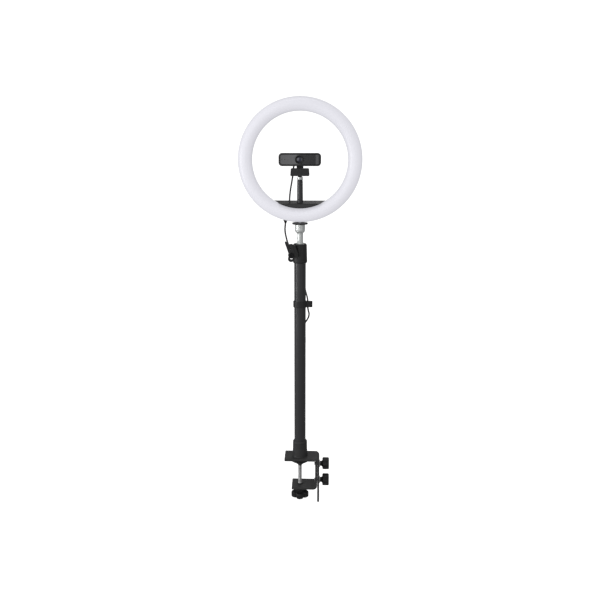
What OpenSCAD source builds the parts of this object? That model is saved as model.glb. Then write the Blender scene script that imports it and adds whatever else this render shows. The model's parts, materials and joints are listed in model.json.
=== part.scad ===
// Ring light on a telescoping post with a desk clamp, with a webcam inside the ring.
// Origin: on the post's axis, at the underside of the upper jaw's rubber pad, where the desk top bears.
// +Z up, the light shines towards -Y, the clamp's spine is on the +X side.

/* [Clamp] */
// Thickness of the bent steel jaw plates
plate_t = 4.5; // [3:0.5:6]
// Depth of both jaws, front to back
jaw_d = 43; // [32:1:50]
// Reach of the upper jaw to the left of the post
jaw_left = 34; // [30:1:45]
// Inner face of the spine, from the post's axis
spine_x = 39; // [37:0.5:46]
// Lower end of the spine
spine_low = -96; // [-110:1:-92]
// Outside bend radius of the plates
bend_r = 9; // [7:0.5:12]
// Thickness of the rubber pad under the upper jaw
jaw_pad_t = 1.5; // [1:0.5:3]
// Top face of the lower jaw
lower_jaw_z = -62; // [-64:0.5:-58]
// Diameter of the clamp screw
screw_d = 8; // [6:1:8]
// Diameter of the clamp screw's star knob
clamp_knob_d = 40; // [32:1:42]
// Diameter of the two side knobs
side_knob_d = 27; // [22:1:30]
// Height of the upper side knob's axis
side_knob_z = -13.6; // [-15:0.2:-12]
// Distance between the two side knobs
side_knob_gap = 38.7; // [34:0.1:40]
// Radius of the swivelling pressure pad
pad_r = 20; // [16:0.5:21]

/* [Post] */
// Outside diameter of the fixed tube
tube_d = 25; // [24.8:0.1:25.4]
// Outside diameter of the sliding tube
mast_d = 19; // [18.6:0.1:19.2]
// Underside of the lock collar
collar_z = 444; // [430:1:460]
// Height of the lock collar
collar_h = 41; // [38:1:44]
// Height of the cable clip's middle
clip_z = 353.5; // [340:0.5:365]

/* [Ring] */
// Height of the ring's centre
ring_z = 661; // [660:0.5:662]
// Radius of the ring's middle line
ring_r = 115; // [114.5:0.5:115.5]
// Radius of the ring's round section
section_r = 15; // [14.8:0.1:15]
// Number of lamps on the board
led_count = 40; // [20:2:60]

/* [Webcam] */
// Width of the webcam
cam_w = 88; // [80:1:96]
// Height of the webcam
cam_h = 27; // [25:1:28]
// Height of the lens axis
cam_z = 662; // [661.5:0.5:663]

/* [Leads] */
// Diameter of the ring's power lead
lead_d = 3.5; // [3:0.1:3.6]
// Diameter of the webcam's lead
cam_lead_d = 3.4; // [3:0.1:3.4]

/* [Hidden] */
$fn = 64;
tiny = 0.01;
run = 0.05; // radial clearance of a running fit
plate_top = jaw_pad_t + plate_t;
spine_out = spine_x + plate_t;
jaw_gap = 0.3; // between the spine and the lower jaw's upright
upright_x = spine_x - jaw_gap - plate_t;
screw_r = screw_d / 2;
thread_r = 4; // the side knobs' studs
pad_top = -2.3; // the pressure pad's rubber, clear of the upper jaw
pad_plate_top = pad_top - 1.2;
hub_low = -16.5;
knob_top = -72.4;
knob_low = -92;
lower_knob_z = side_knob_z - side_knob_gap;
jaw_travel = 30;
socket_floor = 12;
tube_low = plate_top + socket_floor;
tube_r = tube_d / 2;
tube_bore = 11.2;
mast_r = mast_d / 2;
mast_bore = 8.3;
collar_top = collar_z + collar_h;
mast_top = collar_top - 3;
lever_x = -17;
lever_z = 463.5;
eye_x = -18.7;
eye_z = 453.3;
base_z = 526.6; // underside of the swivel base
section_z = ring_z - ring_r; // the section's centre at the bottom of the ring
tilt_y = 2;
case_front = -15;
case_back = 17;
case_split = 3;
case_r = ring_r - section_r - 0.2;
case_top = 575.5;
case_slope = 8;
button_z = 569.2;
post_low = 563.2; // lower end of the webcam's arm, inside the control case
button_xs = [-19.5, -6.5, 6.5, 19.5];
arm_top = 620.3;
shoulder_h = 5.4;
block_low = 628;
block_top = 644;
neck_y = -1;
neck_z = 640.5;
leg_y = 10.6;
leg_z = 641;
cam_front = -14;
cam_back = 12;
cam_split = -9;
cam_corner = 7.5;
boot_x = -31;
boot_y = 5;
boot_low = 529;
hank_w = 21; // six cords side by side
hank_d = 9 * lead_d; // a loop whose bends are three cords in radius, two cords deep
hank_y = 30.5;
hank_low = 228;
hank_high = 298;

// The ring's power lead, from its strain relief to the hank behind the post
lead_route = [
    [-31, 5, 528.7], [-31.6, 5, 523], [-32.2, 5, 515.5], [-31.6, 5.2, 507.5], [-29.9, 6.2, 498.5],
    [-27.8, 8.4, 489.5], [-25.3, 11.6, 481], [-22.4, 15, 473], [-19.8, 17.6, 466],
    [-15.5, 20, 457], [-11, 21.4, 448], [-6, 21.6, 438], [-1.5, 21, 428], [2.5, 20, 418],
    [5.6, 18.6, 408], [8, 17, 398], [9.8, 15.2, 388], [12, 12.2, 378], [14.6, 8, 370],
    [16.3, 3, 364.2], [16.6, 0, 360], [16.6, 0, 353.5], [16.6, 0, 347], [18, 0, 339], [19.6, 0, 332],
    [18.6, 0.6, 325], [15.8, 2.8, 318.4], [13, 7.4, 313.2], [10.8, 12, 308], [9.4, 15.2, 302],
    [8.8, 16.4, 295.4], [8.8, 16.5, 289]
];
// The stretch of the same lead from the hank down to its plug
plug_route = [[1.8, 16.5, 238], [1.8, 16.5, 229.5], [1.8, 16.8, 221], [1.8, 17.4, 212.5], [1.8, 17.6, 204]];
// The webcam's lead, from the back of the camera to the top of the control case
cam_route = [
    [-13, 12.2, 656], [-13, 17.5, 656], [-13.4, 22, 652.6], [-14, 22.8, 647],
    [-14.8, 20.2, 641.6], [-15.4, 15.6, 637.4], [-15.6, 12.6, 632.4], [-15.8, 10, 626.8], [-16.8, 7.6, 620],
    [-18, 5, 612], [-19.4, 3, 604], [-20.6, 1, 595], [-21.5, -0.8, 586], [-22, -2, 577.5],
    [-22, -2.4, 571.5]
];

// ---- shared shapes ----

// A cylinder along X, Y, from one place to another
module rod_x(r, x0, x1) { translate([x0, 0, 0]) rotate([0, 90, 0]) cylinder(r = r, h = x1 - x0); }
module rod_y(r, y0, y1) { translate([0, y1, 0]) rotate([90, 0, 0]) cylinder(r = r, h = y1 - y0); }

// A 2D outline in X and Z, made solid from y0 to y1
module along_y(y0, y1) { translate([0, y1, 0]) rotate([90, 0, 0]) linear_extrude(y1 - y0) children(); }

// A 2D profile of radius and height, revolved about the ring's own axis (Y), with its height along +Y
module about_ring() { translate([0, 0, ring_z]) rotate([-90, 0, 0]) rotate_extrude($fn = 128) children(); }

// A straight slot, given its two end centres and its width
module slot(a, b, w) {
    for (p = [a, b]) translate(p) circle(d = w);
    translate([min(a[0], b[0]) - (a[0] == b[0] ? w / 2 : 0), min(a[1], b[1]) - (a[1] == b[1] ? w / 2 : 0)])
        square([a[0] == b[0] ? w : abs(b[0] - a[0]), a[1] == b[1] ? w : abs(b[1] - a[1])]);
}

// A rectangle with round corners
module round_rect(x0, z0, x1, z1, r) {
    translate([x0 + r, z0]) square([x1 - x0 - 2 * r, z1 - z0]);
    translate([x0, z0 + r]) square([x1 - x0, z1 - z0 - 2 * r]);
    for (x = [x0 + r, x1 - r], z = [z0 + r, z1 - r]) translate([x, z]) circle(r = r);
}

// A quarter of a plate's bend, filling the corner whose outside is at the origin
module bend(quarter) {
    intersection() {
        difference() {
            circle(r = bend_r);
            circle(r = bend_r - plate_t);
        }
        rotate(quarter) square(bend_r + 1);
    }
}

// The outline of a star knob: a disc with round lobes, the first of them along +X
module star(r, lobes, lobe_r) {
    circle(r = r - lobe_r * 0.7);
    for (i = [0 : lobes - 1]) rotate(i * 360 / lobes) translate([r - lobe_r, 0]) circle(r = lobe_r);
}

// A round cord swept along part of a route, a ring of sides at each of the points first to last
function unit(v) = v / norm(v);
function heading(p, i) = unit(p[min(i + 1, len(p) - 1)] - p[max(i - 1, 0)]);
function side_of(d) = unit(cross(d, abs(d[1]) < 0.9 ? [0, 1, 0] : [1, 0, 0]));
function ring_at(p, i, r, sides) = let (d = heading(p, i), u = side_of(d), v = cross(d, u))
    [for (k = [0 : sides - 1]) let (a = 360 * k / sides) p[i] + r * (cos(a) * u + sin(a) * v)];
module cord(route, first, last, d, sides = 8) {
    n = last - first + 1;
    polyhedron(
        points = [for (i = [first : last], q = ring_at(route, i, d / 2, sides)) q],
        faces = concat(
            [[for (k = [0 : sides - 1]) k]],
            [for (i = [0 : n - 2], k = [0 : sides - 1]) let (a = i * sides + k, b = i * sides + (k + 1) % sides)
                each [[a, a + sides, b + sides], [a, b + sides, b]]],
            [[for (k = [sides - 1 : -1 : 0]) (n - 1) * sides + k]]
        )
    );
}

// ---- clamp ----

// The upper jaw and the spine are one bent plate; the spine has a slot for the side studs
module upper_jaw() {
    color("dimgray") difference() {
        along_y(-jaw_d / 2, jaw_d / 2) {
            translate([-jaw_left, jaw_pad_t]) square([jaw_left + spine_out - bend_r, plate_t]);
            translate([spine_x, spine_low + plate_t / 2])
                square([plate_t, plate_top - bend_r - spine_low - plate_t / 2]);
            translate([spine_x + plate_t / 2, spine_low + plate_t / 2]) circle(d = plate_t);
            translate([spine_out - bend_r, plate_top - bend_r]) bend(0);
        }
        translate([0, 0, jaw_pad_t - tiny]) cylinder(r1 = 7.6, r2 = 4.2, h = 3.4);
        cylinder(r = screw_r + 0.2, h = plate_top + 1);
        translate([spine_x - 1, 0, 0]) rotate([90, 0, 90]) linear_extrude(plate_t + 2)
            slot([0, lower_knob_z - jaw_travel - 0.5], [0, side_knob_z + 0.5], 2 * thread_r + 0.6);
    }
}

module jaw_pad() {
    color("black") difference() {
        linear_extrude(jaw_pad_t) round_rect(-jaw_left + 0.3, -jaw_d / 2 + 0.3, 33, jaw_d / 2 - 0.3, 1.5);
        translate([0, 0, -1]) cylinder(r = 7.8, h = jaw_pad_t + 2);
    }
}

// A turned sleeve that flares to its base and has a stepped, chamfered rim
module post_socket() {
    rim_z = 37.5;
    mouth_z = 42.8;
    color([0.16, 0.16, 0.17]) difference() {
        rotate_extrude() polygon([
            [0, plate_top], [17.4, plate_top], [16.9, plate_top + 2], [15.9, 26], [15.8, rim_z - 0.8],
            [15.1, rim_z - 0.8], [15.1, rim_z], [15.8, rim_z], [15.8, mouth_z - 3], [13.4, mouth_z],
            [0, mouth_z]
        ]);
        translate([0, 0, tube_low]) cylinder(r = tube_r + run, h = mouth_z);
        translate([0, 0, plate_top - 1]) cylinder(r = screw_r + run, h = socket_floor + 2);
    }
}

// Countersunk bolt from under the jaw into the socket's floor, with a hexagon key recess
module post_bolt() {
    color("silver") difference() {
        union() {
            translate([0, 0, jaw_pad_t + 0.1]) cylinder(r1 = 7.4, r2 = screw_r, h = 3.3);
            translate([0, 0, jaw_pad_t + 3.3]) cylinder(r = screw_r, h = plate_t - 3.3 + socket_floor - 0.5);
        }
        translate([0, 0, jaw_pad_t - 1]) cylinder(d = 5.8, h = 3.6, $fn = 6);
    }
}

module lower_jaw() {
    top_z = -1.5;
    outer_x = upright_x + plate_t;
    low_z = lower_jaw_z - plate_t;
    color("dimgray") difference() {
        along_y(-jaw_d / 2, jaw_d / 2) {
            translate([-18, low_z]) square([18 + outer_x - bend_r, plate_t]);
            translate([upright_x, low_z + bend_r]) square([plate_t, top_z - low_z - bend_r]);
            translate([outer_x - bend_r, low_z + bend_r]) bend(-90);
        }
        translate([0, 0, low_z - 1]) cylinder(r = 5.5, h = plate_t + 2);
        for (z = [side_knob_z, lower_knob_z]) translate([0, 0, z]) rod_x(thread_r + run, 20, 45);
    }
}

// Flanged threaded insert, seated on top of the lower jaw
module clamp_nut() {
    color("gray") difference() {
        union() {
            translate([0, 0, lower_jaw_z]) cylinder(r = 6.4, h = 1.2);
            translate([0, 0, lower_jaw_z - plate_t]) cylinder(r = 5.45, h = plate_t + 1);
        }
        translate([0, 0, -80]) cylinder(r = screw_r + run, h = 40);
    }
}

// The screw turns in the pad's hub, held there by a ring in its neck groove
module clamp_screw() {
    groove_z = hub_low + 4;
    color("silver") difference() {
        translate([0, 0, knob_low + 5]) cylinder(r = screw_r, h = -knob_low - 5 - 8.6);
        translate([0, 0, groove_z]) difference() {
            cylinder(r = screw_r + 1, h = 1.6);
            translate([0, 0, -1]) cylinder(r = screw_r - 1, h = 4);
        }
    }
}

module clamp_knob() {
    hub_z = -79.5;
    r = clamp_knob_d / 2;
    color([0.12, 0.12, 0.13]) difference() {
        union() {
            rotate(-90) {
                translate([0, 0, knob_low + 2]) linear_extrude(hub_z - knob_low - 3) star(r, 5, 8);
                translate([0, 0, knob_low]) linear_extrude(3) star(r - 1.5, 5, 7.2);
                translate([0, 0, hub_z - 2]) linear_extrude(2) star(r - 1.5, 5, 7.2);
            }
            translate([0, 0, hub_z - 1]) cylinder(r1 = 12.4, r2 = 13, h = knob_top - hub_z + 1);
        }
        translate([0, 0, knob_low + 5 - run]) cylinder(r = screw_r + run, h = 30);
    }
}

// A shallow cone with a hub below, in which the screw's end turns
module pressure_pad() {
    color([0.1, 0.1, 0.11]) difference() {
        rotate_extrude() polygon([
            [0, pad_plate_top], [pad_r, pad_plate_top], [pad_r, pad_plate_top - 1.8], [5.6, hub_low + 1],
            [5.2, hub_low], [0, hub_low]
        ]);
        translate([0, 0, hub_low - 1]) cylinder(r = screw_r + run, h = 9);
        translate([0, 0, hub_low + 4]) cylinder(r = screw_r + 0.9, h = 1.4);
    }
}

module pad_face() {
    color("black") translate([0, 0, pad_plate_top]) cylinder(r = pad_r - 2, h = pad_top - pad_plate_top);
}

// Split snap ring that keeps the screw in the pad
module pad_ring() {
    color("silver") translate([0, 0, hub_low + 4.2]) linear_extrude(1) difference() {
        circle(r = screw_r + 0.8);
        circle(r = screw_r - 1 + run);
        translate([0, -1]) square([6, 2]);
    }
}

// A lobed head on a tapered neck, turned about X
module side_knob(z) {
    r = side_knob_d / 2;
    neck_x = spine_out + 1.6;
    head_x = neck_x + 6.8;
    end_x = 65.2;
    color([0.12, 0.12, 0.13]) difference() {
        translate([0, 0, z]) union() {
            translate([head_x, 0, 0]) rotate([0, 90, 0]) linear_extrude(end_x - head_x - 1.6) star(r, 7, 4);
            translate([end_x - 2, 0, 0]) rotate([0, 90, 0]) linear_extrude(2) star(r - 1.5, 7, 3.4);
            translate([head_x - 1.6, 0, 0]) rotate([0, 90, 0]) linear_extrude(2) star(r - 1.5, 7, 3.4);
            rod_x(5.6, neck_x, neck_x + 3.6);
            translate([neck_x + 3.4, 0, 0]) rotate([0, 90, 0]) cylinder(r1 = 5.6, r2 = r - 3.4, h = 2.4);
        }
        translate([0, 0, z]) rod_x(thread_r + run, neck_x - 1, end_x - 5);
    }
}
module side_knob_upper() { side_knob(side_knob_z); }
module side_knob_lower() { side_knob(lower_knob_z); }

// A threaded stud with a collar that bears on the spine
module side_stud(z) {
    color("silver") translate([0, 0, z]) {
        rod_x(thread_r, upright_x - 2, 59);
        rod_x(8, spine_out + 0.1, spine_out + 1.5);
    }
}
module side_stud_upper() { side_stud(side_knob_z); }
module side_stud_lower() { side_stud(lower_knob_z); }

// ---- post ----

module outer_tube() {
    color([0.22, 0.22, 0.23]) translate([0, 0, tube_low]) difference() {
        cylinder(r = tube_r, h = collar_top - 15 - tube_low);
        translate([0, 0, -1]) cylinder(r = tube_bore, h = collar_top);
    }
}

// Plastic bush in the mouth of the outer tube, with a lip on its rim
module guide_bush() {
    rim_z = collar_top - 15;
    color([0.85, 0.85, 0.82]) difference() {
        union() {
            translate([0, 0, rim_z - 30]) cylinder(r = tube_bore - run, h = 30);
            translate([0, 0, rim_z]) cylinder(r = tube_r, h = 2);
        }
        translate([0, 0, rim_z - 31]) cylinder(r = mast_r + run, h = 40);
    }
}

// A split clamp round both tubes, with two ears for the lever's bolt and a tether eye
module lock_collar() {
    ear_y = 9;
    color([0.13, 0.13, 0.14]) difference() {
        union() {
            rotate_extrude() polygon([
                [0, collar_z], [14.2, collar_z], [15.4, collar_z + 2.5], [14.6, collar_top - 2.5],
                [13.2, collar_top], [0, collar_top]
            ]);
            along_y(-ear_y, ear_y) {
                translate([lever_x, lever_z]) circle(r = 7.5);
                translate([eye_x, eye_z]) circle(r = 6.8);
                translate([lever_x - 7.2, eye_z]) square([12, lever_z - eye_z]);
                translate([-14, collar_z + 2.6]) square([8, 26]);
            }
        }
        translate([0, 0, collar_z - 1]) cylinder(r = tube_r + run, h = collar_h - 12 + 1);
        translate([0, 0, collar_z]) cylinder(r = mast_r + 0.3, h = collar_h + 1);
        translate([-30, -1.2, collar_z - 1]) cube([24, 2.4, collar_h + 2]);
        translate([lever_x, 0, lever_z]) rod_y(3 + run, -20, 20);
        translate([lever_x, 0, lever_z]) rod_y(6.2, ear_y, 20);
        translate([eye_x, 0, eye_z]) rod_y(3.5, -20, 20);
    }
}

// A cast handle that turns on the collar's bolt
module lock_lever() {
    color([0.1, 0.1, 0.11]) difference() {
        union() {
            along_y(-22, -15.9) {
                polygon([
                    [-31.5, 489.8], [-30.6, 491.8], [-28.6, 491.8], [-22.5, 486], [-18, 487], [-9.5, 484],
                    [-2.8, 465], [-3.6, 460], [-11, 457], [-22.5, 457.5], [-23.5, 467]
                ]);
                translate([lever_x, lever_z]) circle(r = 7.4);
            }
            translate([lever_x, 0, lever_z]) rod_y(4.8, -16, -9.2);
        }
        translate([lever_x, 0, lever_z]) rod_y(3 + run, -30, 0);
        translate([-19.4, 0, 477]) rod_y(1.9, -30, 0);
    }
}

module lever_bolt() {
    color("silver") translate([lever_x, 0, lever_z]) {
        rod_y(3, -22.2, 14.6);
        rod_y(5, -25.2, -22.05);
    }
}

module lever_nut() {
    color("silver") difference() {
        translate([lever_x, 14.1, lever_z]) rotate([90, 0, 0]) cylinder(d = 11.5, h = 5, $fn = 6);
        translate([lever_x, 0, lever_z]) rod_y(3 + run, 0, 20);
    }
}

module inner_tube() {
    color([0.3, 0.3, 0.31]) translate([0, 0, 70]) difference() {
        cylinder(r = mast_r, h = mast_top - 70);
        translate([0, 0, -1]) cylinder(r = mast_bore, h = mast_top);
    }
}

// The foot of the sliding tube: a plug with a collar that runs in the outer tube
module mast_glide() {
    color([0.85, 0.85, 0.82]) {
        translate([0, 0, 66]) cylinder(r = tube_bore - 2 * run, h = 4);
        translate([0, 0, 69]) cylinder(r = mast_bore - run, h = 20);
    }
}

// Turned and plated spigot: a plug in the sliding tube, a slim neck, a wide head and a threaded tip
module spigot() {
    tip_r = 3.175;
    color([0.88, 0.9, 0.9]) rotate_extrude() polygon([
        [0, 462], [mast_bore - run, 462], [mast_bore - run, mast_top + run], [mast_r, mast_top + run],
        [mast_r, mast_top + 1.2], [7.6, mast_top + 3], [6.5, 491], [6.5, 507.5], [10.7, 512.2],
        [10.7, base_z - 0.7], [10.1, base_z - 0.1], [tip_r, base_z - 0.1], [tip_r, 530], [0, 530]
    ]);
}

// A snap ring on the tube with an arm that holds the lead
module cable_clip() {
    h = 13;
    color([0.1, 0.1, 0.11]) translate([0, 0, clip_z - h / 2]) difference() {
        union() {
            cylinder(r = tube_r + 2.2, h = h);
            translate([12, -4, 0]) cube([11, 8, h]);
            translate([23, 0, 0]) cylinder(r = 4, h = h);
        }
        translate([0, 0, -1]) cylinder(r = tube_r + run, h = h + 2);
        translate([-20, -1, -1]) cube([10, 2, h + 2]);
        translate([16.6, 0, -1]) cylinder(r = lead_d / 2 + 0.2, h = h + 2);
    }
}

// ---- swivel base and tilt hinge ----

// A round flange that turns on the spigot's tip; its neck rises behind the ring and reaches in to the tilt pin
module swivel_base() {
    neck_y0 = 22.6;
    base_t = 3.2;
    color([0.1, 0.1, 0.11]) difference() {
        union() {
            translate([0, 0, base_z]) cylinder(r = 16.5, h = base_t);
            translate([-7, 0, base_z]) cube([14, neck_y0 + 4, base_t]);
            translate([-7, neck_y0, base_z]) cube([14, 4, 20]);
            translate([-4, neck_y0, base_z]) cube([8, 4, section_z + 4.5 - base_z]);
            translate([-4, tilt_y, section_z - 4.5]) cube([8, neck_y0 + 4 - tilt_y, 9]);
            translate([0, tilt_y, section_z]) rod_x(4.5, -4, 4);
        }
        translate([0, 0, base_z - 1]) cylinder(r = 3.175 + run, h = 5);
        translate([0, tilt_y, section_z]) rod_x(2 + run, -5, 5);
    }
}

module tilt_pin() {
    color("silver") translate([0, tilt_y, section_z]) rod_x(2, -9.8, 9.8);
}

// ---- ring ----

// Half of a round section, from its middle line towards the front (-1) or the back (1)
module half_section(outer, inner, side) {
    intersection() {
        translate([ring_r, 0]) difference() {
            circle(r = outer);
            circle(r = inner);
        }
        translate([ring_r - 20, side < 0 ? -20 : 0]) square([40, 20]);
    }
}

module diffuser() {
    color([0.93, 0.93, 0.95]) about_ring() half_section(section_r, section_r - 2, -1);
}

module rear_shell() {
    outer = section_r - 0.4;
    color([0.12, 0.12, 0.13]) difference() {
        about_ring() translate([0, 0.1]) half_section(outer, outer - 2, 1);
        translate([-5, 4, section_z - 10.8]) cube([10, 20, 21.6]);
        translate([boot_x, boot_y, 520]) cylinder(r = 4.5, h = 30);
    }
}

module led_board() {
    color([0.9, 0.9, 0.88]) about_ring() translate([ring_r - 11.8, -4.4]) square([23.6, 1.2]);
}

module leds() {
    color([0.95, 0.9, 0.5]) for (i = [0 : led_count - 1])
        translate([0, 0, ring_z]) rotate([0, i * 360 / led_count, 0]) translate([ring_r - 1.75, -5.4, -1.75])
            cube([3.5, 1, 3.5]);
}

// The block inside the ring's bottom that carries the tilt pin between two cheeks
module hinge_block() {
    color([0.2, 0.2, 0.21]) difference() {
        intersection() {
            translate([0, 0, section_z + 0.2]) rod_x(11.9, -10.5, 10.5);
            translate([-20, -2.9, section_z - 20]) cube([40, 40, 40]);
        }
        translate([-4.3, 2.6, section_z - 20]) cube([8.6, 40, 40]);
        translate([-4.3, -5, section_z - 5.8]) cube([8.6, 40, 11.6]);
        translate([0, tilt_y, section_z]) rod_x(2 + run, -9.9, 9.9);
    }
}

// ---- control case ----

// The part of the ring's hole below the case's top, made solid from y0 to y1, with the top sloping to the front
module case_slice(r, y0, y1, drop) {
    difference() {
        translate([0, 0, ring_z]) along_y(y0, y1) intersection() {
            circle(r = r, $fn = 128);
            translate([-70, -120]) square([140, 120 - (ring_z - case_top)]);
        }
        translate([0, case_back, case_top - drop]) rotate([case_slope, 0, 0])
            translate([-80, -60, 0]) cube([160, 80, 20]);
    }
}

module control_case() {
    wall = 1.8;
    color([0.12, 0.12, 0.13]) difference() {
        case_slice(case_r, case_front, case_split, 0);
        case_slice(case_r - wall, case_front + wall, case_split + 1, wall);
        translate([0, 0, post_low - 0.1]) cylinder(r = 6.5, h = 20);
        translate([cam_route[14][0], cam_route[14][1], 568]) cylinder(r = cam_lead_d / 2 + 0.5, h = 12);
    }
}

// The back half, whose skirt follows the ring's rear shell, with holes for the buttons and screws
module control_back() {
    wall = 1.8;
    color([0.12, 0.12, 0.13]) difference() {
        case_slice(ring_r - 8, case_split + 0.1, case_back, 0);
        about_ring() translate([ring_r, 0]) circle(r = section_r + 0.1);
        case_slice(case_r - wall, case_split - 1, case_back - wall, wall);
        translate([0, 0, post_low - 0.1]) cylinder(r = 6.5, h = 20);
        for (x = button_xs) translate([x, 0, button_z]) rod_y(3.2, 0, 20);
        for (x = [-33, 33]) translate([x, 0, button_z + 2.2]) rod_y(1.3, 0, 20);
        translate([-5.2, 0, 550]) cube([10.4, 20, 9.5]); // room for the swivel's arm
    }
}

module control_board() {
    color([0.1, 0.35, 0.2]) intersection() {
        case_slice(case_r - 2.6, 8, 9.4, 2.6);
        translate([-31, 0, 540]) cube([62, 20, 60]);
    }
}

// A push button with a flange inside the case and a stem that ends at its switch
module button(i) {
    color("gray") translate([button_xs[i], 0, button_z]) {
        rod_y(3, case_back - 2.1, case_back + 1);
        rod_y(3.8, case_back - 3, case_back - 2);
        rod_y(2, 11, case_back - 2.9);
    }
}
module power_button() { button(0); }
module dimmer_button() { button(1); }
module brighter_button() { button(2); }
module colour_button() { button(3); }

module case_screws() {
    color("silver") for (x = [-33, 33]) translate([x, 0, button_z + 2.2]) {
        rod_y(1.25, 4, case_back + 0.1);
        rod_y(2.4, case_back + 0.05, case_back + 1.4);
    }
}

// Tapered strain relief that carries the power lead out of the ring's underside
module lead_boot() {
    color("black") translate([boot_x, boot_y, 0]) {
        translate([0, 0, 533.6]) cylinder(r = 4.4, h = 7);
        translate([0, 0, boot_low]) cylinder(r1 = 2.4, r2 = 4.4, h = 533.7 - boot_low);
    }
}

// ---- webcam arm ----

module arm_post() {
    color([0.15, 0.15, 0.16]) difference() {
        union() {
            translate([0, 0, post_low]) cylinder(r = 6.4, h = 578 - post_low);
            translate([0, 0, 578 - tiny]) cylinder(r1 = 6.4, r2 = 5.8, h = arm_top - 578);
        }
        translate([0, 0, 610]) cylinder(r = 3.1 + run, h = 20);
    }
}

module arm_stud() {
    color([0.88, 0.9, 0.9]) {
        translate([0, 0, arm_top]) cylinder(r = 6.1, h = shoulder_h);
        translate([0, 0, 611]) cylinder(r = 3.1, h = 634 - 611);
    }
}

// ---- webcam ----

module cam_outline(inset) {
    round_rect(-cam_w / 2 + inset, cam_z - cam_h / 2 + inset, cam_w / 2 - inset, cam_z + cam_h / 2 - inset,
        cam_corner - inset);
}

module cam_bezel() {
    color([0.1, 0.1, 0.11]) difference() {
        along_y(cam_front, cam_split) cam_outline(0);
        along_y(cam_front - 1, cam_split + 1) cam_outline(3.4);
    }
}

// The rear shell, with the neck that hangs in the clip's slot
module cam_shell() {
    color([0.13, 0.13, 0.14]) difference() {
        union() {
            difference() {
                union() {
                    along_y(cam_split + 0.05, cam_back - 1) cam_outline(0);
                    along_y(cam_back - 1.1, cam_back) cam_outline(1);
                }
                along_y(cam_split - 1, cam_back - 2) cam_outline(2);
            }
            translate([-7, neck_y - 3.4, neck_z]) cube([14, 6.8, cam_z - cam_h / 2 + 1.5 - neck_z]);
            translate([0, neck_y, neck_z]) rod_x(3.4, -7, 7);
        }
        translate([0, neck_y, neck_z]) rod_x(1.5 + run, -10, 10);
    }
}

module cam_glass() {
    color([0.25, 0.25, 0.28, 0.8]) difference() {
        along_y(cam_front + 0.6, cam_front + 2) cam_outline(3.5);
        translate([-1, 0, cam_z]) rod_y(8.9, cam_front - 2, cam_split);
    }
}

module lens_barrel() {
    color([0.08, 0.08, 0.1]) translate([-1, 0, cam_z]) difference() {
        union() {
            rod_y(8.8, cam_front - 1, cam_front + 4);
            rod_y(6, cam_front + 3.9, -2.6);
        }
        translate([0, cam_front - 1.1, 0]) rotate([-90, 0, 0]) cylinder(r1 = 7.4, r2 = 4, h = 2.4);
    }
}

module cam_board() {
    color([0.1, 0.35, 0.2]) along_y(-2.4, -0.9) cam_outline(4);
}

// The clip's front block, with the tilt slot, a tripod bore and an eye for the lead
module clip_block() {
    slot_y = [-8.4, 8.5];
    eye = [-15.6, 12.3, 630.8];
    color([0.11, 0.11, 0.12]) difference() {
        union() {
            translate([0, -14, 0]) rotate([90, 0, 180]) linear_extrude(22)
                polygon([[-19.8, block_low + 1.5], [-18.3, block_low], [18.3, block_low], [19.8, block_low + 1.5],
                    [18.9, block_top - 1.5], [17.4, block_top], [-17.4, block_top], [-18.9, block_top - 1.5]]);
            translate([0, 0, arm_top + shoulder_h + 0.1]) cylinder(r = 4.4, h = 3);
            translate([eye.x, eye.y, eye.z]) cylinder(r = 4.7, h = 2.6);
            translate([eye.x - 3.6, 6, eye.z]) cube([7.2, 5, 2.6]);
            for (x = [-14.6, 11.6]) translate([x, 7, leg_z - 2.4]) cube([3, leg_y - 7, 4.8]);
            translate([0, leg_y, leg_z]) for (x = [-14.6, 11.6]) rod_x(2.4, x, x + 3);
        }
        translate([-7.3, slot_y[0], neck_z - 4]) cube([14.6, slot_y[1] - slot_y[0], 20]);
        translate([0, neck_y, neck_z]) rod_x(1.5 + run, -14.1, 14.1);
        translate([0, 0, 620]) cylinder(r = 3.1 + run, h = 15);
        translate([eye.x, eye.y, eye.z - 1]) cylinder(r = 3.6, h = 5);
        translate([0, leg_y, leg_z]) rod_x(1.3, -12.6, 12.6);
    }
}

module neck_pin() {
    color("silver") translate([0, neck_y, neck_z]) rod_x(1.5, -14, 14);
}

// The folding leg behind the block, with its own pivot studs at the top
module clip_leg() {
    color([0.11, 0.11, 0.12]) difference() {
        union() {
            translate([-10.5, leg_y - 2, block_low + 0.6]) cube([21, 4, leg_z - block_low - 0.6]);
            translate([0, leg_y, leg_z]) rod_x(2, -11, 11);
            translate([0, leg_y, leg_z]) rod_x(1.25, -12.5, 12.5);
        }
        translate([-8, leg_y + 1, block_low + 2.6]) cube([16, 2, 7]);
    }
}

// ---- leads ----

module lead_tilt() { color("black") cord(lead_route, 0, 4, lead_d); }
module lead_pan() { color("black") cord(lead_route, 4, 8, lead_d); }
module lead_mast() { color("black") cord(lead_route, 8, 20, lead_d); }
module lead_tail() {
    color("black") {
        cord(lead_route, 20, len(lead_route) - 1, lead_d);
        cord(plug_route, 0, len(plug_route) - 1, lead_d);
    }
}

// The folded length of the lead, as one solid with round ends
module lead_hank() {
    r = hank_d / 2;
    color([0.07, 0.07, 0.07]) translate([-hank_w / 2, 0, 0]) rotate([90, 0, 90]) linear_extrude(hank_w)
        slot([hank_y, hank_low + r], [hank_y, hank_high - r], hank_d);
}

// A strap round the hank
module hank_tie() {
    strap_t = 1.2;
    strap_w = 12;
    half_w = hank_w / 2 + run;
    half_d = hank_d / 2 + run;
    color([0.2, 0.2, 0.2]) translate([0, hank_y, (hank_low + hank_high - strap_w) / 2])
        linear_extrude(strap_w) difference() {
            round_rect(-half_w - strap_t, -half_d - strap_t, half_w + strap_t, half_d + strap_t, 1.5);
            translate([-half_w, -half_d]) square([2 * half_w, 2 * half_d]);
        }
}

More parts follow.
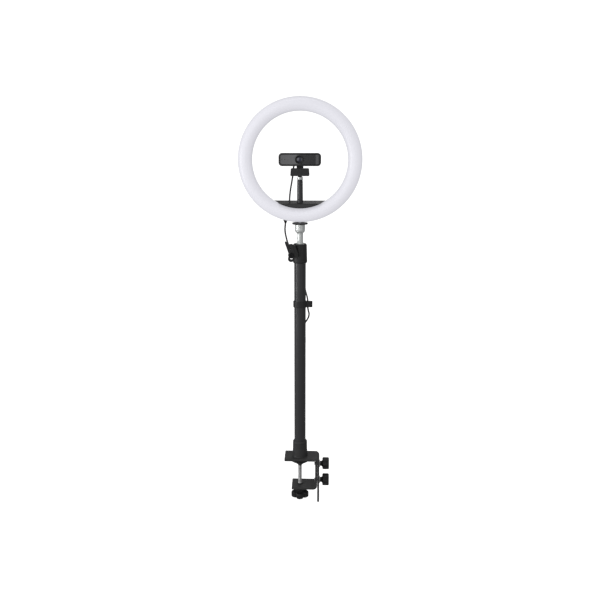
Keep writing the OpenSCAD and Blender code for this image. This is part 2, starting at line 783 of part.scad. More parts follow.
// A moulded grip and a metal shell, one below the other
module usb_plug() {
    end = plug_route[len(plug_route) - 1];
    neck_h = 7;
    grip_h = 23;
    shell = [12, 4.5, 19];
    color("black") translate(end - [0, 0, neck_h]) {
        cylinder(r1 = 3.4, r2 = 2.2, h = neck_h);
        translate([-8, -4, -grip_h]) cube([16, 8, grip_h + tiny]);
    }
    color("silver") translate(end - [0, 0, neck_h + grip_h + shell.z]) difference() {
        translate([-shell.x / 2, -shell.y / 2, 0]) cube(shell);
        translate([0.4 - shell.x / 2, 0.2 - shell.y / 2, -1]) cube([shell.x - 0.8, 1.8, 12]);
    }
}

module cam_lead_tilt() { color("black") cord(cam_route, 0, 6, cam_lead_d); }
module cam_lead_pan() { color("black") cord(cam_route, 6, 14, cam_lead_d); }

upper_jaw();
jaw_pad();
post_socket();
post_bolt();
lower_jaw();
clamp_nut();
clamp_screw();
clamp_knob();
pressure_pad();
pad_face();
pad_ring();
side_knob_upper();
side_stud_upper();
side_knob_lower();
side_stud_lower();
outer_tube();
guide_bush();
lock_collar();
lock_lever();
lever_bolt();
lever_nut();
inner_tube();
mast_glide();
spigot();
cable_clip();
swivel_base();
tilt_pin();
diffuser();
rear_shell();
led_board();
leds();
hinge_block();
control_case();
control_back();
control_board();
power_button();
colour_button();
brighter_button();
dimmer_button();
case_screws();
lead_boot();
arm_post();
arm_stud();
cam_bezel();
cam_shell();
cam_glass();
lens_barrel();
cam_board();
clip_block();
neck_pin();
clip_leg();
lead_tilt();
lead_pan();
lead_mast();
lead_tail();
lead_hank();
hank_tie();
usb_plug();
cam_lead_tilt();
cam_lead_pan();
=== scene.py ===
import json
import math

import bmesh
import bpy
from mathutils import Matrix, Vector


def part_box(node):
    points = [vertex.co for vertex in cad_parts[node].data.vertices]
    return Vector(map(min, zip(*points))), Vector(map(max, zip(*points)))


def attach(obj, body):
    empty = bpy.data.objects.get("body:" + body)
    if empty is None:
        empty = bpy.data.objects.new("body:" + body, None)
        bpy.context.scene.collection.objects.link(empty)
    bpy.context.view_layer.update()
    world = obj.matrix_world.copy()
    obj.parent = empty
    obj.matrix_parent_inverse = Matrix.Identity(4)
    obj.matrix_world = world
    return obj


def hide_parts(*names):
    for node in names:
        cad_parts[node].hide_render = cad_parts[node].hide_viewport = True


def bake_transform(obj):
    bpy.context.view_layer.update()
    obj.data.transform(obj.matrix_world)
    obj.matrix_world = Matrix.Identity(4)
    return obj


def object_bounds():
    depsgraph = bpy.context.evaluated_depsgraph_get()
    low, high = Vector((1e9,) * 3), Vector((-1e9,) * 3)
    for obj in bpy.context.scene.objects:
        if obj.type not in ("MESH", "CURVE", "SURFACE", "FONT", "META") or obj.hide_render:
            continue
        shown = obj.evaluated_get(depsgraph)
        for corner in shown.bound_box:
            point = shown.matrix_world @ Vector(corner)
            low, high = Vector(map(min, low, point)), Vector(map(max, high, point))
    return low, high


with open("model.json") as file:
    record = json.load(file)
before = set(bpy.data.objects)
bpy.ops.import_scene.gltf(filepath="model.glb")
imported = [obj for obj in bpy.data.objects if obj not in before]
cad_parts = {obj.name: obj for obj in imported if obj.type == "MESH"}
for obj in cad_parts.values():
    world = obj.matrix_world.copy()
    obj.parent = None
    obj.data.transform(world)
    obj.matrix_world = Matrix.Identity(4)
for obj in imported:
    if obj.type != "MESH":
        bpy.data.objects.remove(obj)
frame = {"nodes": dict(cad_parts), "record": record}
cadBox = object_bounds()


def middle(node):
    low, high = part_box(node)
    return (low + high) / 2


ringCentre = middle("led_board") * Vector((1, 0, 1))
lensCentre = middle("lens_barrel")


# camera, floor and light

cameraPlace = {"distance": 1.4, "height": 0.6775, "azimuth": 1.9, "pitch": 9.5, "lens": 39.81,
               "shift": -0.0617}
studio = {
    "ambient": 0.22,
    "lamps": [  # place, height aimed at, width, height, watts
        ((-0.9, -2.0, 0.8), 0.45, 1.8, 1.8, 9.5),
        ((1.4, -1.9, 0.7), 0.4, 1.0, 1.8, 3.0),
        ((-1.9, -0.75, 0.45), 0.25, 0.25, 1.0, 13),
        ((0.0, -0.5, 2.3), 0.5, 1.0, 0.6, 4.5),
        ((0.5, 1.7, 1.4), 0.5, 1.2, 1.0, 3),
    ],
    "floorRadius": 5.0, "cove": 1.2, "wallTop": 5.0, "floorGap": 0.004,
}


def makeCamera(place):
    lens = bpy.data.cameras.new("camera")
    lens.lens = place["lens"]
    lens.sensor_width = 36
    lens.shift_y = place["shift"]
    camera = bpy.data.objects.new("camera", lens)
    turn = math.radians(place["azimuth"])
    reach = place["distance"]
    camera.location = (reach * math.sin(turn), -reach * math.cos(turn), place["height"])
    camera.rotation_euler = (math.radians(90 - place["pitch"]), 0, turn)
    bpy.context.scene.collection.objects.link(camera)
    bpy.context.scene.camera = camera


def makeLamp(index, spot, aim, width, height, watts):
    light = bpy.data.lights.new(f"softbox{index}", "AREA")
    light.shape = "RECTANGLE"
    light.size = width
    light.size_y = height
    light.energy = watts
    lamp = bpy.data.objects.new(light.name, light)
    lamp.location = spot
    gaze = Vector((0, 0, aim)) - Vector(spot)
    lamp.rotation_euler = gaze.to_track_quat("-Z", "Y").to_euler()
    bpy.context.scene.collection.objects.link(lamp)


makeCamera(cameraPlace)
for index, lampFacts in enumerate(studio["lamps"]):
    makeLamp(index, *lampFacts)
bpy.context.scene.view_settings.view_transform = "Standard"
print("camera and lamps placed")


# shader graphs

class Wire:
    def __init__(self, graph, socket):
        self.graph = graph
        self.socket = socket

    def maths(self, operation, first, second):
        return self.graph.node("ShaderNodeMath", {"operation": operation}, {0: first, 1: second})

    def __add__(self, other):
        return self.maths("ADD", self, other)

    def __radd__(self, other):
        return self.maths("ADD", other, self)

    def __sub__(self, other):
        return self.maths("SUBTRACT", self, other)

    def __rsub__(self, other):
        return self.maths("SUBTRACT", other, self)

    def __mul__(self, other):
        return self.maths("MULTIPLY", self, other)

    def __rmul__(self, other):
        return self.maths("MULTIPLY", other, self)


class Graph:
    def __init__(self, name):
        self.material = bpy.data.materials.new(name)
        self.material.use_nodes = True
        self.tree = self.material.node_tree
        self.shader = self.tree.nodes["Principled BSDF"]
        self.place = self.node("ShaderNodeTexCoord", {}, {}, "Object")

    def node(self, kind, settings, values, output=0):
        made = self.tree.nodes.new(kind)
        for key, value in settings.items():
            if key == "stops":
                self.fillRamp(made.color_ramp, value)
            else:
                setattr(made, key, value)
        for key, value in values.items():
            self.feed(made.inputs[key], value)
        return Wire(self, made.outputs[output])

    def feed(self, socket, value):
        if isinstance(value, Wire):
            self.tree.links.new(value.socket, socket)
        elif socket.type == "RGBA" and len(value) == 3:
            socket.default_value = (*value, 1)
        else:
            socket.default_value = value

    def fillRamp(self, ramp, stops):
        while len(ramp.elements) < len(stops):
            ramp.elements.new(1)
        for element, (spot, shade) in zip(ramp.elements, stops):
            element.position = spot
            element.color = (*shade, 1)

    def surface(self, **values):
        for key, value in values.items():
            self.feed(self.shader.inputs[key.replace("_", " ")], value)
        return self.material

    def axes(self, centre=(0, 0, 0)):
        shifted = self.node("ShaderNodeMapping", {}, {0: self.place, 1: tuple(-c for c in centre)})
        split = self.tree.nodes.new("ShaderNodeSeparateXYZ")
        self.feed(split.inputs[0], shifted)
        return [Wire(self, out) for out in split.outputs]

    def noise(self, scale, detail=2.0, stretch=(1, 1, 1)):
        spot = self.node("ShaderNodeMapping", {}, {0: self.place, 3: stretch})
        return self.node("ShaderNodeTexNoise", {}, {"Vector": spot, "Scale": scale, "Detail": detail})

    def mix(self, factor, first, second):
        settings = {"data_type": "RGBA"}
        return self.node("ShaderNodeMix", settings, {0: factor, 6: first, 7: second}, 2)

    def range(self, value, low, high, toLow=0.0, toHigh=1.0):
        return self.node("ShaderNodeMapRange", {}, {0: value, 1: low, 2: high, 3: toLow, 4: toHigh})

    def bump(self, height, distance, strength=1.0):
        return self.node("ShaderNodeBump", {},
                         {"Strength": strength, "Distance": distance, "Height": height})


def shade(tone, tint=(1, 1, 1)):
    return tuple(tone * t for t in tint)


def grainedPlastic(name, tone, roughness, grain=0.00003, tint=(1, 1, 1.04)):
    g = Graph(name)
    fine = g.noise(2600, 3)
    cloud = g.noise(60, 2)
    return g.surface(
        Base_Color=g.mix(cloud, shade(tone * 0.85, tint), shade(tone * 1.15, tint)),
        Roughness=g.range(fine, 0.3, 0.7, roughness - 0.06, roughness + 0.06),
        Specular_IOR_Level=0.35,
        Normal=g.bump(fine, grain),
    )


def powderCoat(name, tone, roughness=0.5):
    g = Graph(name)
    pebble = g.node("ShaderNodeTexVoronoi", {"feature": "SMOOTH_F1"}, {"Vector": g.place, "Scale": 1500})
    cloud = g.noise(45, 3)
    return g.surface(
        Base_Color=g.mix(cloud, shade(tone * 0.88), shade(tone * 1.1, (1, 1, 1.05))),
        Roughness=g.range(cloud, 0.3, 0.7, roughness - 0.04, roughness + 0.05),
        Specular_IOR_Level=0.4,
        Normal=g.bump(pebble, 0.000012, 0.5),
    )


def turnedMetal(name, colour, roughness, lines=9000, depth=0.000004, stretch=(0.02, 0.02, 1), metallic=1.0):
    g = Graph(name)
    rings = g.noise(lines, 2, stretch)
    cloud = g.noise(80, 2)
    return g.surface(
        Base_Color=g.mix(cloud, shade(0.93, colour), colour),
        Metallic=metallic,
        Roughness=g.range(rings, 0.3, 0.7, roughness * 0.75, roughness * 1.3),
        Normal=g.bump(rings, depth),
    )


def opalPlastic():
    g = Graph("opal")
    _, y, z = g.axes(ringCentre)
    depth = g.range(y, -0.015, 0.0)  # 0 on the crest, 1 at the rear edge
    # painted shade: base colour and glow darken towards the rear edge of the tube and towards the top of the
    # ring, where less lamp light falls
    paintedEdgeShade = depth * depth
    glowWithPaintedShade = (1 - paintedEdgeShade) * g.range(z, 0.135, 0.10, 0.86, 1.0)
    fine = g.noise(3000, 2)
    return g.surface(
        Base_Color=g.mix(paintedEdgeShade, (0.42, 0.42, 0.45), (0.36, 0.36, 0.39)),
        Roughness=g.range(fine, 0.3, 0.7, 0.36, 0.44),
        # the ring's own glow, dimmed by painted shade at the rear edge and the top
        Emission_Color=g.mix(glowWithPaintedShade, (0.62, 0.62, 0.66), (0.92, 0.915, 0.985)),
        Emission_Strength=0.6,
        Normal=g.bump(fine, 0.00001),
    )


def rubber(name, tone=0.02):
    g = Graph(name)
    fine = g.noise(1800, 4)
    return g.surface(
        Base_Color=g.mix(fine, shade(tone * 0.8), shade(tone * 1.3)),
        Roughness=g.range(fine, 0.3, 0.7, 0.62, 0.78),
        Normal=g.bump(fine, 0.00004),
    )


def cordJacket(name):
    g = Graph(name)
    fine = g.noise(1400, 3)
    return g.surface(
        Base_Color=g.mix(g.noise(150), (0.02, 0.02, 0.021), (0.036, 0.036, 0.038)),
        Roughness=g.range(fine, 0.3, 0.7, 0.38, 0.5),
        Normal=g.bump(fine, 0.000015),
    )


def boardFace(name, colour, scale=700):
    g = Graph(name)
    tracks = g.node(
        "ShaderNodeTexBrick", {"offset": 0.3},
        {"Vector": g.place, "Scale": scale, "Color1": (0, 0, 0, 1), "Color2": (1, 1, 1, 1),
         "Mortar": (0.5, 0.5, 0.5, 1)})
    return g.surface(
        Base_Color=g.mix(tracks, colour, shade(0.75, colour)),
        Roughness=0.4,
        Normal=g.bump(tracks, 0.00003),
    )


def webcamFace():
    g = Graph("webcamFace")
    x = g.axes(lensCentre)[0]
    leftZone = g.range(x, 0.004, -0.008)
    badge = (g.range(x, 0.0335, 0.0345)) * g.range(x, 0.0405, 0.0395)
    light = g.range(x + g.noise(60) * 0.006, -0.040, -0.012, 0.105, 0.135)
    left = g.mix(light, (0, 0, 0), (1, 1, 1.06))
    face = g.mix(leftZone, (0.026, 0.026, 0.029), left)
    return g.surface(
        Base_Color=g.mix(badge, face, (0.115, 0.115, 0.12)),
        Roughness=0.22,
        Coat_Weight=0.5,
        Coat_Roughness=0.04,
        Normal=g.bump(g.noise(900, 2), 0.000004),
    )


def lensGlass():
    g = Graph("lensGlass")
    x, _, z = g.axes(lensCentre)
    rings = g.node("ShaderNodeMath", {"operation": "SQRT"}, {0: x * x + z * z})
    depth = g.node(
        "ShaderNodeValToRGB",
        {"stops": [(0.0, (0.004, 0.004, 0.012)), (0.35, (0.01, 0.01, 0.03)), (0.6, (0.03, 0.035, 0.08)),
                   (0.8, (0.006, 0.006, 0.016)), (1.0, (0.02, 0.02, 0.035))]},
        {0: g.range(rings, 0.0, 0.0062)})
    return g.surface(Base_Color=depth, Roughness=0.04, Coat_Weight=1.0, Coat_Roughness=0.02, IOR=1.6)


def wovenTape():
    g = Graph("wovenTape")
    warp = g.node("ShaderNodeTexWave", {"bands_direction": "Z"}, {"Vector": g.place, "Scale": 900})
    weft = g.node("ShaderNodeTexWave", {"bands_direction": "X"}, {"Vector": g.place, "Scale": 900})
    weave = warp * weft
    return g.surface(
        Base_Color=g.mix(weave, (0.012, 0.012, 0.013), (0.05, 0.05, 0.052)),
        Roughness=0.85,
        Sheen_Weight=0.3,
        Normal=g.bump(weave, 0.00015),
    )


def floorFinish():
    g = Graph("floor")
    pale = g.mix(g.noise(3), shade(0.97), shade(1.0))
    return g.surface(Base_Color=shade(0.9), Roughness=0.9, Emission_Color=pale, Emission_Strength=1.0)


finishes = {
    "plate_steel": powderCoat("powderCoat", 0.052),
    "socket": powderCoat("socketCoat", 0.045, 0.45),
    "rubber": rubber("blackRubber"),
    "tube_black": turnedMetal("satinPaint", (0.046, 0.046, 0.05), 0.36, 5000, 0.000003, (1, 1, 0.3), 0.0),
    "tube_inner": turnedMetal("anodised", (0.5, 0.5, 0.52), 0.3),
    "black_plastic": grainedPlastic("grainedPlastic", 0.03, 0.46),
    "knob_plastic": grainedPlastic("knobPlastic", 0.022, 0.4),
    "shell_plastic": grainedPlastic("shellPlastic", 0.034, 0.5, 0.00005),
    "panel": grainedPlastic("panelPlastic", 0.05, 0.38, 0.00001),
    "gloss_black": grainedPlastic("polishedPlastic", 0.02, 0.2, 0.000005),
    "nickel": turnedMetal("nickel", (0.94, 0.97, 0.96), 0.42, 9000, 0.000004, (0.02, 0.02, 1), 0.6),
    "zinc_steel": turnedMetal("zincPlate", (0.78, 0.78, 0.78), 0.42, 9000, 0.000004, (0.02, 0.02, 1), 0.8),
    "black_steel": turnedMetal("blackOxide", (0.03, 0.03, 0.032), 0.4),
    "natural_nylon": grainedPlastic("naturalNylon", 0.7, 0.5, 0.00002, (1, 0.98, 0.92)),
    "opal": opalPlastic(),
    "board_white": boardFace("whiteMask", (0.8, 0.8, 0.78), 60),
    "lamp": grainedPlastic("phosphor", 0.8, 0.3, 0.00001, (1, 0.85, 0.35)),
    "board_green": boardFace("greenMask", (0.03, 0.2, 0.09)),
    "hinge_nylon": grainedPlastic("filledNylon", 0.07, 0.55, 0.00005),
    "button_grey": grainedPlastic("buttonGrey", 0.17, 0.45),
    "smoked_glass": webcamFace(),
    "lens": lensGlass(),
    "lead_black": cordJacket("leadJacket"),
    "tie": wovenTape(),
}
print("finishes made:", len(finishes))


# mesh tools

def finishMesh(bm, name, sharp=32):
    bmesh.ops.recalc_face_normals(bm, faces=bm.faces)
    return meshOf(bm, name, sharp)


def meshOf(bm, name, sharp=32):
    mesh = bpy.data.meshes.new(name)
    bm.to_mesh(mesh)
    bm.free()
    mesh.shade_smooth()
    mesh.set_sharp_from_angle(angle=math.radians(sharp))
    return mesh


def addPiece(name, mesh, body, slot, finish=None, replaced=()):
    piece = bpy.data.objects.new(name, mesh)
    mesh.materials.append(finishes[finish or slot])
    bpy.context.scene.collection.objects.link(piece)
    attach(piece, body)
    if replaced:
        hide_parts(*replaced)
    weights = piece.modifiers.new("faceWeights", "WEIGHTED_NORMAL")
    weights.keep_sharp = True
    return piece


def fillet(profile, radius, steps=3):
    # rounds the inner corners of an open outline of points
    path = [Vector(p) for p in profile]
    rounded = [path[0]]
    for before, corner, after in zip(path, path[1:], path[2:]):
        reachIn = min(radius, (corner - before).length * 0.45)
        reachOut = min(radius, (after - corner).length * 0.45)
        start = corner + (before - corner).normalized() * reachIn
        end = corner + (after - corner).normalized() * reachOut
        for step in range(steps + 1):
            t = step / steps
            rounded.append(start * (1 - t) ** 2 + corner * 2 * t * (1 - t) + end * t ** 2)
    return rounded + [path[-1]]


def lathe(profile, steps=64, turn=None, closed=False):
    # profile is a list of (radius, height); turn places the finished shape
    bm = bmesh.new()
    verts = [bm.verts.new((r, 0, h)) for r, h in profile]
    pairs = list(zip(verts, verts[1:])) + ([(verts[-1], verts[0])] if closed else [])
    edges = [bm.edges.new(pair) for pair in pairs]
    bmesh.ops.spin(bm, geom=verts + edges, cent=(0, 0, 0), axis=(0, 0, 1), dvec=(0, 0, 0),
                   angle=2 * math.pi, steps=steps, use_merge=True)
    bmesh.ops.remove_doubles(bm, verts=bm.verts, dist=1e-6)
    if turn:
        bmesh.ops.transform(bm, matrix=turn, verts=bm.verts)
    return bm


def towards(axis, spot=(0, 0, 0)):
    # turns a shape made along +Z to lie along an axis, then moves it
    return Matrix.Translation(Vector(spot)) @ Vector(axis).to_track_quat("Z", "Y").to_matrix().to_4x4()


def extruded(outline, depth, rounding, turn=None, segments=3):
    bm = bmesh.new()
    face = bm.faces.new([bm.verts.new((x, y, 0)) for x, y in outline])
    grown = bmesh.ops.extrude_face_region(bm, geom=[face])
    top = [v for v in grown["geom"] if isinstance(v, bmesh.types.BMVert)]
    bmesh.ops.translate(bm, verts=top, vec=(0, 0, depth))
    rims = [e for e in bm.edges if abs(e.verts[0].co.z - e.verts[1].co.z) < 1e-7]
    bevelEdges(bm, rims, rounding, segments)
    if turn:
        bmesh.ops.transform(bm, matrix=turn, verts=bm.verts)
    return bm


def bevelEdges(bm, edges, width, segments=2, clamp=False):
    bmesh.ops.bevel(bm, geom=edges, offset=width, offset_type="OFFSET", segments=segments, profile=0.5,
                    affect="EDGES", clamp_overlap=clamp, material=-1)


def softened(node, width, segments=2, sharp=40):
    # a merged copy of a CAD node whose sharp edges are rounded
    bm = bmesh.new()
    bm.from_mesh(frame["nodes"][node].data)
    bmesh.ops.remove_doubles(bm, verts=bm.verts, dist=3e-6)
    bmesh.ops.dissolve_limit(bm, angle_limit=math.radians(0.5), verts=bm.verts, edges=bm.edges)
    limit = math.radians(sharp)
    corners = [e for e in bm.edges if e.is_manifold and e.calc_face_angle(0) > limit]
    bevelEdges(bm, corners, width, segments, True)
    return bm


def roundedBar(width, height, corner, steps=6):
    # the outline of a rectangle with round corners, centred
    outline = []
    for index, (sx, sy) in enumerate([(1, 1), (-1, 1), (-1, -1), (1, -1)]):
        for step in range(steps + 1):
            angle = math.pi / 2 * (index + step / steps)
            outline.append((sx * (width / 2 - corner) + corner * math.cos(angle),
                            sy * (height / 2 - corner) + corner * math.sin(angle)))
    return outline


# leads

lead = {
    "diameter": 0.0035,
    "route": [
        (-0.031, 0.005, 0.5287), (-0.0316, 0.005, 0.523), (-0.0322, 0.005, 0.5155),
        (-0.0316, 0.0052, 0.5075),
        (-0.0299, 0.0062, 0.4985), (-0.0278, 0.0084, 0.4895), (-0.0253, 0.0116, 0.481),
        (-0.0224, 0.015, 0.473), (-0.0198, 0.0176, 0.466), (-0.0155, 0.02, 0.457), (-0.011, 0.0214, 0.448),
        (-0.006, 0.0216, 0.438), (-0.0015, 0.021, 0.428), (0.0025, 0.02, 0.418), (0.0056, 0.0186, 0.408),
        (0.008, 0.017, 0.398), (0.0098, 0.0152, 0.388), (0.012, 0.0122, 0.378), (0.0146, 0.008, 0.370),
        (0.0163, 0.003, 0.3642), (0.0166, 0, 0.360), (0.0166, 0, 0.3535), (0.0166, 0, 0.347),
        (0.018, 0, 0.339), (0.0196, 0, 0.332), (0.0186, 0.0006, 0.325), (0.0158, 0.0028, 0.3184),
        (0.013, 0.0074, 0.3132), (0.0108, 0.012, 0.308), (0.0094, 0.0152, 0.302), (0.0088, 0.0164, 0.2954),
        (0.0088, 0.0165, 0.289),
    ],
    "plugRoute": [
        (0.0018, 0.0165, 0.238), (0.0018, 0.0165, 0.2295), (0.0018, 0.0168, 0.221),
        (0.0018, 0.0174, 0.2125), (0.0018, 0.0176, 0.204),
    ],
    "cuts": [0, 4, 8, 20],
}
hank = {
    "low": 0.228, "high": 0.298, "centre": 0.0305, "depth": 0.0315, "firstColumn": 0.00875,
    "outer": 0.014, "inner": 0.0105, "pinch": 0.007, "columns": 6, "arcSteps": 14, "legSteps": 14,
}
webcamLead = {
    "diameter": 0.0034,
    "route": [
        (-0.013, 0.0122, 0.656), (-0.013, 0.0175, 0.656), (-0.0134, 0.022, 0.6526), (-0.014, 0.0228, 0.647),
        (-0.0148, 0.0202, 0.6416), (-0.0154, 0.0156, 0.6374), (-0.0156, 0.0126, 0.6324),
        (-0.0158, 0.010, 0.6268), (-0.0168, 0.0076, 0.620), (-0.018, 0.005, 0.612), (-0.0194, 0.003, 0.604),
        (-0.0206, 0.001, 0.595), (-0.0215, -0.0008, 0.586), (-0.022, -0.002, 0.5775),
        (-0.022, -0.0024, 0.5715),
    ],
    "cuts": [0, 6, 14],
}


def smoothRoute(points, spans=4):
    # a Catmull-Rom line through the points, with the index of each given point
    route = [Vector(p) for p in points]
    ends = [2 * route[0] - route[1]] + route + [2 * route[-1] - route[-2]]
    line = []
    for before, start, end, after in zip(ends, ends[1:], ends[2:], ends[3:]):
        for step in range(spans):
            t = step / spans
            bend = 2 * before - 5 * start + 4 * end - after
            swing = 3 * start - before - 3 * end + after
            line.append((2 * start + (end - before) * t + bend * t ** 2 + swing * t ** 3) / 2)
    return line + [route[-1]]


def tubeMesh(name, line, diameter):
    curve = bpy.data.curves.new(name, "CURVE")
    curve.dimensions = "3D"
    curve.bevel_depth = diameter / 2
    curve.bevel_resolution = 2
    curve.use_fill_caps = True
    spline = curve.splines.new("POLY")
    spline.points.add(len(line) - 1)
    for point, spot in zip(spline.points, line):
        point.co = (*spot, 1)
    holder = bpy.data.objects.new(name, curve)
    bpy.context.scene.collection.objects.link(holder)
    bpy.context.view_layer.update()
    mesh = bpy.data.meshes.new_from_object(holder.evaluated_get(bpy.context.evaluated_depsgraph_get()))
    bpy.data.objects.remove(holder)
    bpy.data.curves.remove(curve)
    mesh.name = name
    mesh.materials.clear()
    mesh.shade_smooth()
    return mesh


def lengthOf(line):
    return sum((b - a).length for a, b in zip(line, line[1:]))


def leadStretch(name, line, diameter, node):
    # one stretch of a lead between two bodies, made as a fixed tube along its line
    piece = bpy.data.objects.new(name, tubeMesh(name, line, diameter))
    piece.data.materials.append(finishes["lead_black"])
    bpy.context.scene.collection.objects.link(piece)
    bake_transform(piece)
    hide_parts(node)
    lengthOf(line)
    return piece


def hankLine(h):
    # the folded lead: up and down in two layers, six columns wide, pinched where the tie holds it
    pitch = lead["diameter"]
    top = h["high"] - h["depth"] / 2
    low = h["low"] + h["depth"] / 2
    turns = [(0, "outer")]
    turns += [(column, "inner") for column in range(h["columns"])]
    turns += [(5, "outer"), (4, "outer"), (3, "outer"), (2, "outer")]
    line = []

    def column(index):
        return h["firstColumn"] - index * pitch

    def leg(x, half, side, start, end):
        for step in range(h["legSteps"]):
            t = step / h["legSteps"]
            reach = half - h["pinch"] * math.sin(math.pi * t) ** 2
            line.append(Vector((x, h["centre"] + side * reach, start + (end - start) * t)))

    def arc(x, half, nextX, nextHalf, height, side):
        for step in range(h["arcSteps"]):
            t = step / h["arcSteps"]
            ease = t * t * (3 - 2 * t)
            reach = half + (nextHalf - half) * ease
            y = h["centre"] + side * reach * math.cos(math.pi * t)
            z = height + side * reach * math.sin(math.pi * t)
            line.append(Vector((x + (nextX - x) * ease, y, z)))

    for (index, layer), (nextIndex, nextLayer) in zip(turns, turns[1:]):
        x, half = column(index), h[layer]
        leg(x, half, -1, top, low)
        arc(x, half, x, half, low, -1)
        leg(x, half, 1, low, top)
        arc(x, half, column(nextIndex), h[nextLayer], top, 1)
    lastIndex, lastLayer = turns[-1]
    leg(column(lastIndex), h[lastLayer], -1, top, low)
    line.append(Vector((column(lastIndex), h["centre"] - h[lastLayer], low)))
    return line


spans = 4
leadLine = smoothRoute(lead["route"], spans)
stretches = [
    ("powerLeadTilt", ("head", "swivel"), "lead_tilt"),
    ("powerLeadPan", ("swivel", "mast"), "lead_pan"),
    ("powerLeadMast", ("mast", "root"), "lead_mast"),
]
for (name, bodies, node), start, end in zip(stretches, lead["cuts"], lead["cuts"][1:]):
    part = leadLine[start * spans:end * spans + 1]
    leadStretch(name, part, lead["diameter"], node)
webcamLine = smoothRoute(webcamLead["route"], spans)
webcamStretches = [
    ("webcamLeadTilt", ("camera", "clip"), "cam_lead_tilt"),
    ("webcamLeadPan", ("clip", "head"), "cam_lead_pan"),
]
for (name, bodies, node), start, end in zip(webcamStretches, webcamLead["cuts"], webcamLead["cuts"][1:]):
    part = webcamLine[start * spans:end * spans + 1]
    leadStretch(name, part, webcamLead["diameter"], node)


plug = {
    "gripWidth": 0.016, "gripDepth": 0.008, "gripHeight": 0.023, "corner": 0.0018, "neck": 0.007,
    "ridges": 5, "ridgePitch": 0.0022, "shellWidth": 0.012, "shellDepth": 0.0045, "shellHeight": 0.019,
}


def makePlug(p):
    end = Vector(lead["plugRoute"][-1])
    gripTop = end - Vector((0, 0, p["neck"]))
    down = Matrix.Translation(gripTop) @ Matrix.Rotation(math.pi, 4, "X")
    grip = extruded(roundedBar(p["gripWidth"], p["gripDepth"], p["corner"]), p["gripHeight"], 0.0008, down)
    for side in (-1, 1):
        for index in range(p["ridges"]):
            drop = 0.006 + index * p["ridgePitch"]
            spot = gripTop + Vector((side * p["gripWidth"] / 2, 0, -drop))
            ridge = extruded(roundedBar(0.001, p["gripDepth"] * 0.6, 0.00045), 0.001, 0.0002,
                             Matrix.Translation(spot - Vector((0, 0, 0.0005))))
            joinInto(grip, ridge)
    neck = fillet([(0, 0), (0.0034, 0), (0.0034, 0.0012), (0.0026, 0.002), (0.0026, 0.003), (0.003, 0.0034),
                   (0.003, 0.0042), (0.0024, 0.005), (0.0024, 0.0058), (0.0026, 0.0062), (0.0024, 0.007),
                   (0, 0.007)], 0.0003)
    joinInto(grip, lathe(neck, 24, Matrix.Translation(gripTop)))
    gripPiece = addPiece("plugGrip", finishMesh(grip, "plugGrip"), "root", "lead_black", "knob_plastic",
                         ["usb_plug"])
    shellTop = gripTop - Vector((0, 0, p["gripHeight"]))
    shellDown = Matrix.Translation(shellTop) @ Matrix.Rotation(math.pi, 4, "X")
    shell = extruded(roundedBar(p["shellWidth"], p["shellDepth"], 0.0005, 3), p["shellHeight"], 0.0001,
                     shellDown, 1)
    bmesh.ops.recalc_face_normals(shell, faces=shell.faces)
    mouth = max((f for f in shell.faces
                 if abs(f.normal.z) > 0.99 and f.calc_center_median().z < shellTop.z - 0.01),
                key=lambda f: f.calc_area())
    bmesh.ops.inset_region(shell, faces=[mouth], thickness=0.0004, depth=0)
    deep = bmesh.ops.extrude_face_region(shell, geom=[mouth])
    inner = [v for v in deep["geom"] if isinstance(v, bmesh.types.BMVert)]
    bmesh.ops.delete(shell, geom=[mouth], context="FACES_ONLY")
    bmesh.ops.translate(shell, verts=inner, vec=(0, 0, 0.012))
    shellPiece = addPiece("plugShell", meshOf(shell, "plugShell"), "root", "zinc_steel")
    tongue = extruded(roundedBar(0.0108, 0.0018, 0.0003, 2), 0.0118, 0.0002,
                      Matrix.Translation(shellTop - Vector((0, -0.0009, p["shellHeight"] - 0.0004))))
    tonguePiece = addPiece("plugTongue", finishMesh(tongue, "plugTongue"), "root", "natural_nylon")
    return [gripPiece, shellPiece, tonguePiece]


def joinInto(bm, other):
    mesh = bpy.data.meshes.new("join")
    other.to_mesh(mesh)
    other.free()
    bm.from_mesh(mesh)
    bpy.data.meshes.remove(mesh)


def makeTail():
    plugPieces = makePlug(plug)
    first = lead["cuts"][-1] * spans
    entry = leadLine[first:]
    out = smoothRoute(lead["plugRoute"], spans)
    line = entry + hankLine(hank) + out
    tail = addPiece("powerLeadTail", tubeMesh("powerLeadTail", line, lead["diameter"]), "root", "lead_black",
                    None, ["lead_tail", "lead_hank"])
    tie = makeTie()
    lengthOf(line)
    print("tail of the power lead:", round(lengthOf(line), 3), "m")


def makeTie():
    # a woven strap round the pinched middle of the hank, with its free end lapped over
    strap = {"width": 0.012, "thick": 0.0011, "lap": 0.0012}
    across = hank["columns"] * lead["diameter"] + 0.0004
    deep = 2 * (hank["outer"] - hank["pinch"]) + lead["diameter"] + 0.0004
    height = (hank["low"] + hank["high"] - strap["width"]) / 2
    bm = bmesh.new()
    inner = roundedBar(across, deep, 0.0016)
    verts = [bm.verts.new((x, y + hank["centre"], height)) for x, y in inner]
    edges = [bm.edges.new(pair) for pair in zip(verts, verts[1:] + verts[:1])]
    wall = bmesh.ops.extrude_edge_only(bm, edges=edges)
    bmesh.ops.translate(bm, verts=[v for v in wall["geom"] if isinstance(v, bmesh.types.BMVert)],
                        vec=(0, 0, strap["width"]))
    bmesh.ops.recalc_face_normals(bm, faces=bm.faces)
    bmesh.ops.solidify(bm, geom=bm.faces[:], thickness=-strap["thick"])
    lap = extruded(roundedBar(across * 0.7, strap["width"] * 0.96, 0.001), strap["lap"], 0.0003,
                   towards((0, 1, 0), (0.002, hank["centre"] + deep / 2 + strap["thick"] - 0.0002,
                                       height + strap["width"] / 2)))
    joinInto(bm, lap)
    return addPiece("hankStrap", finishMesh(bm, "hankStrap"), "root", "tie", None, ["hank_tie"])


makeTail()
print("leads made")


# outlines given as a radius at each angle, for shapes that aren't round

def circleEdge(radius):
    return lambda angle: radius


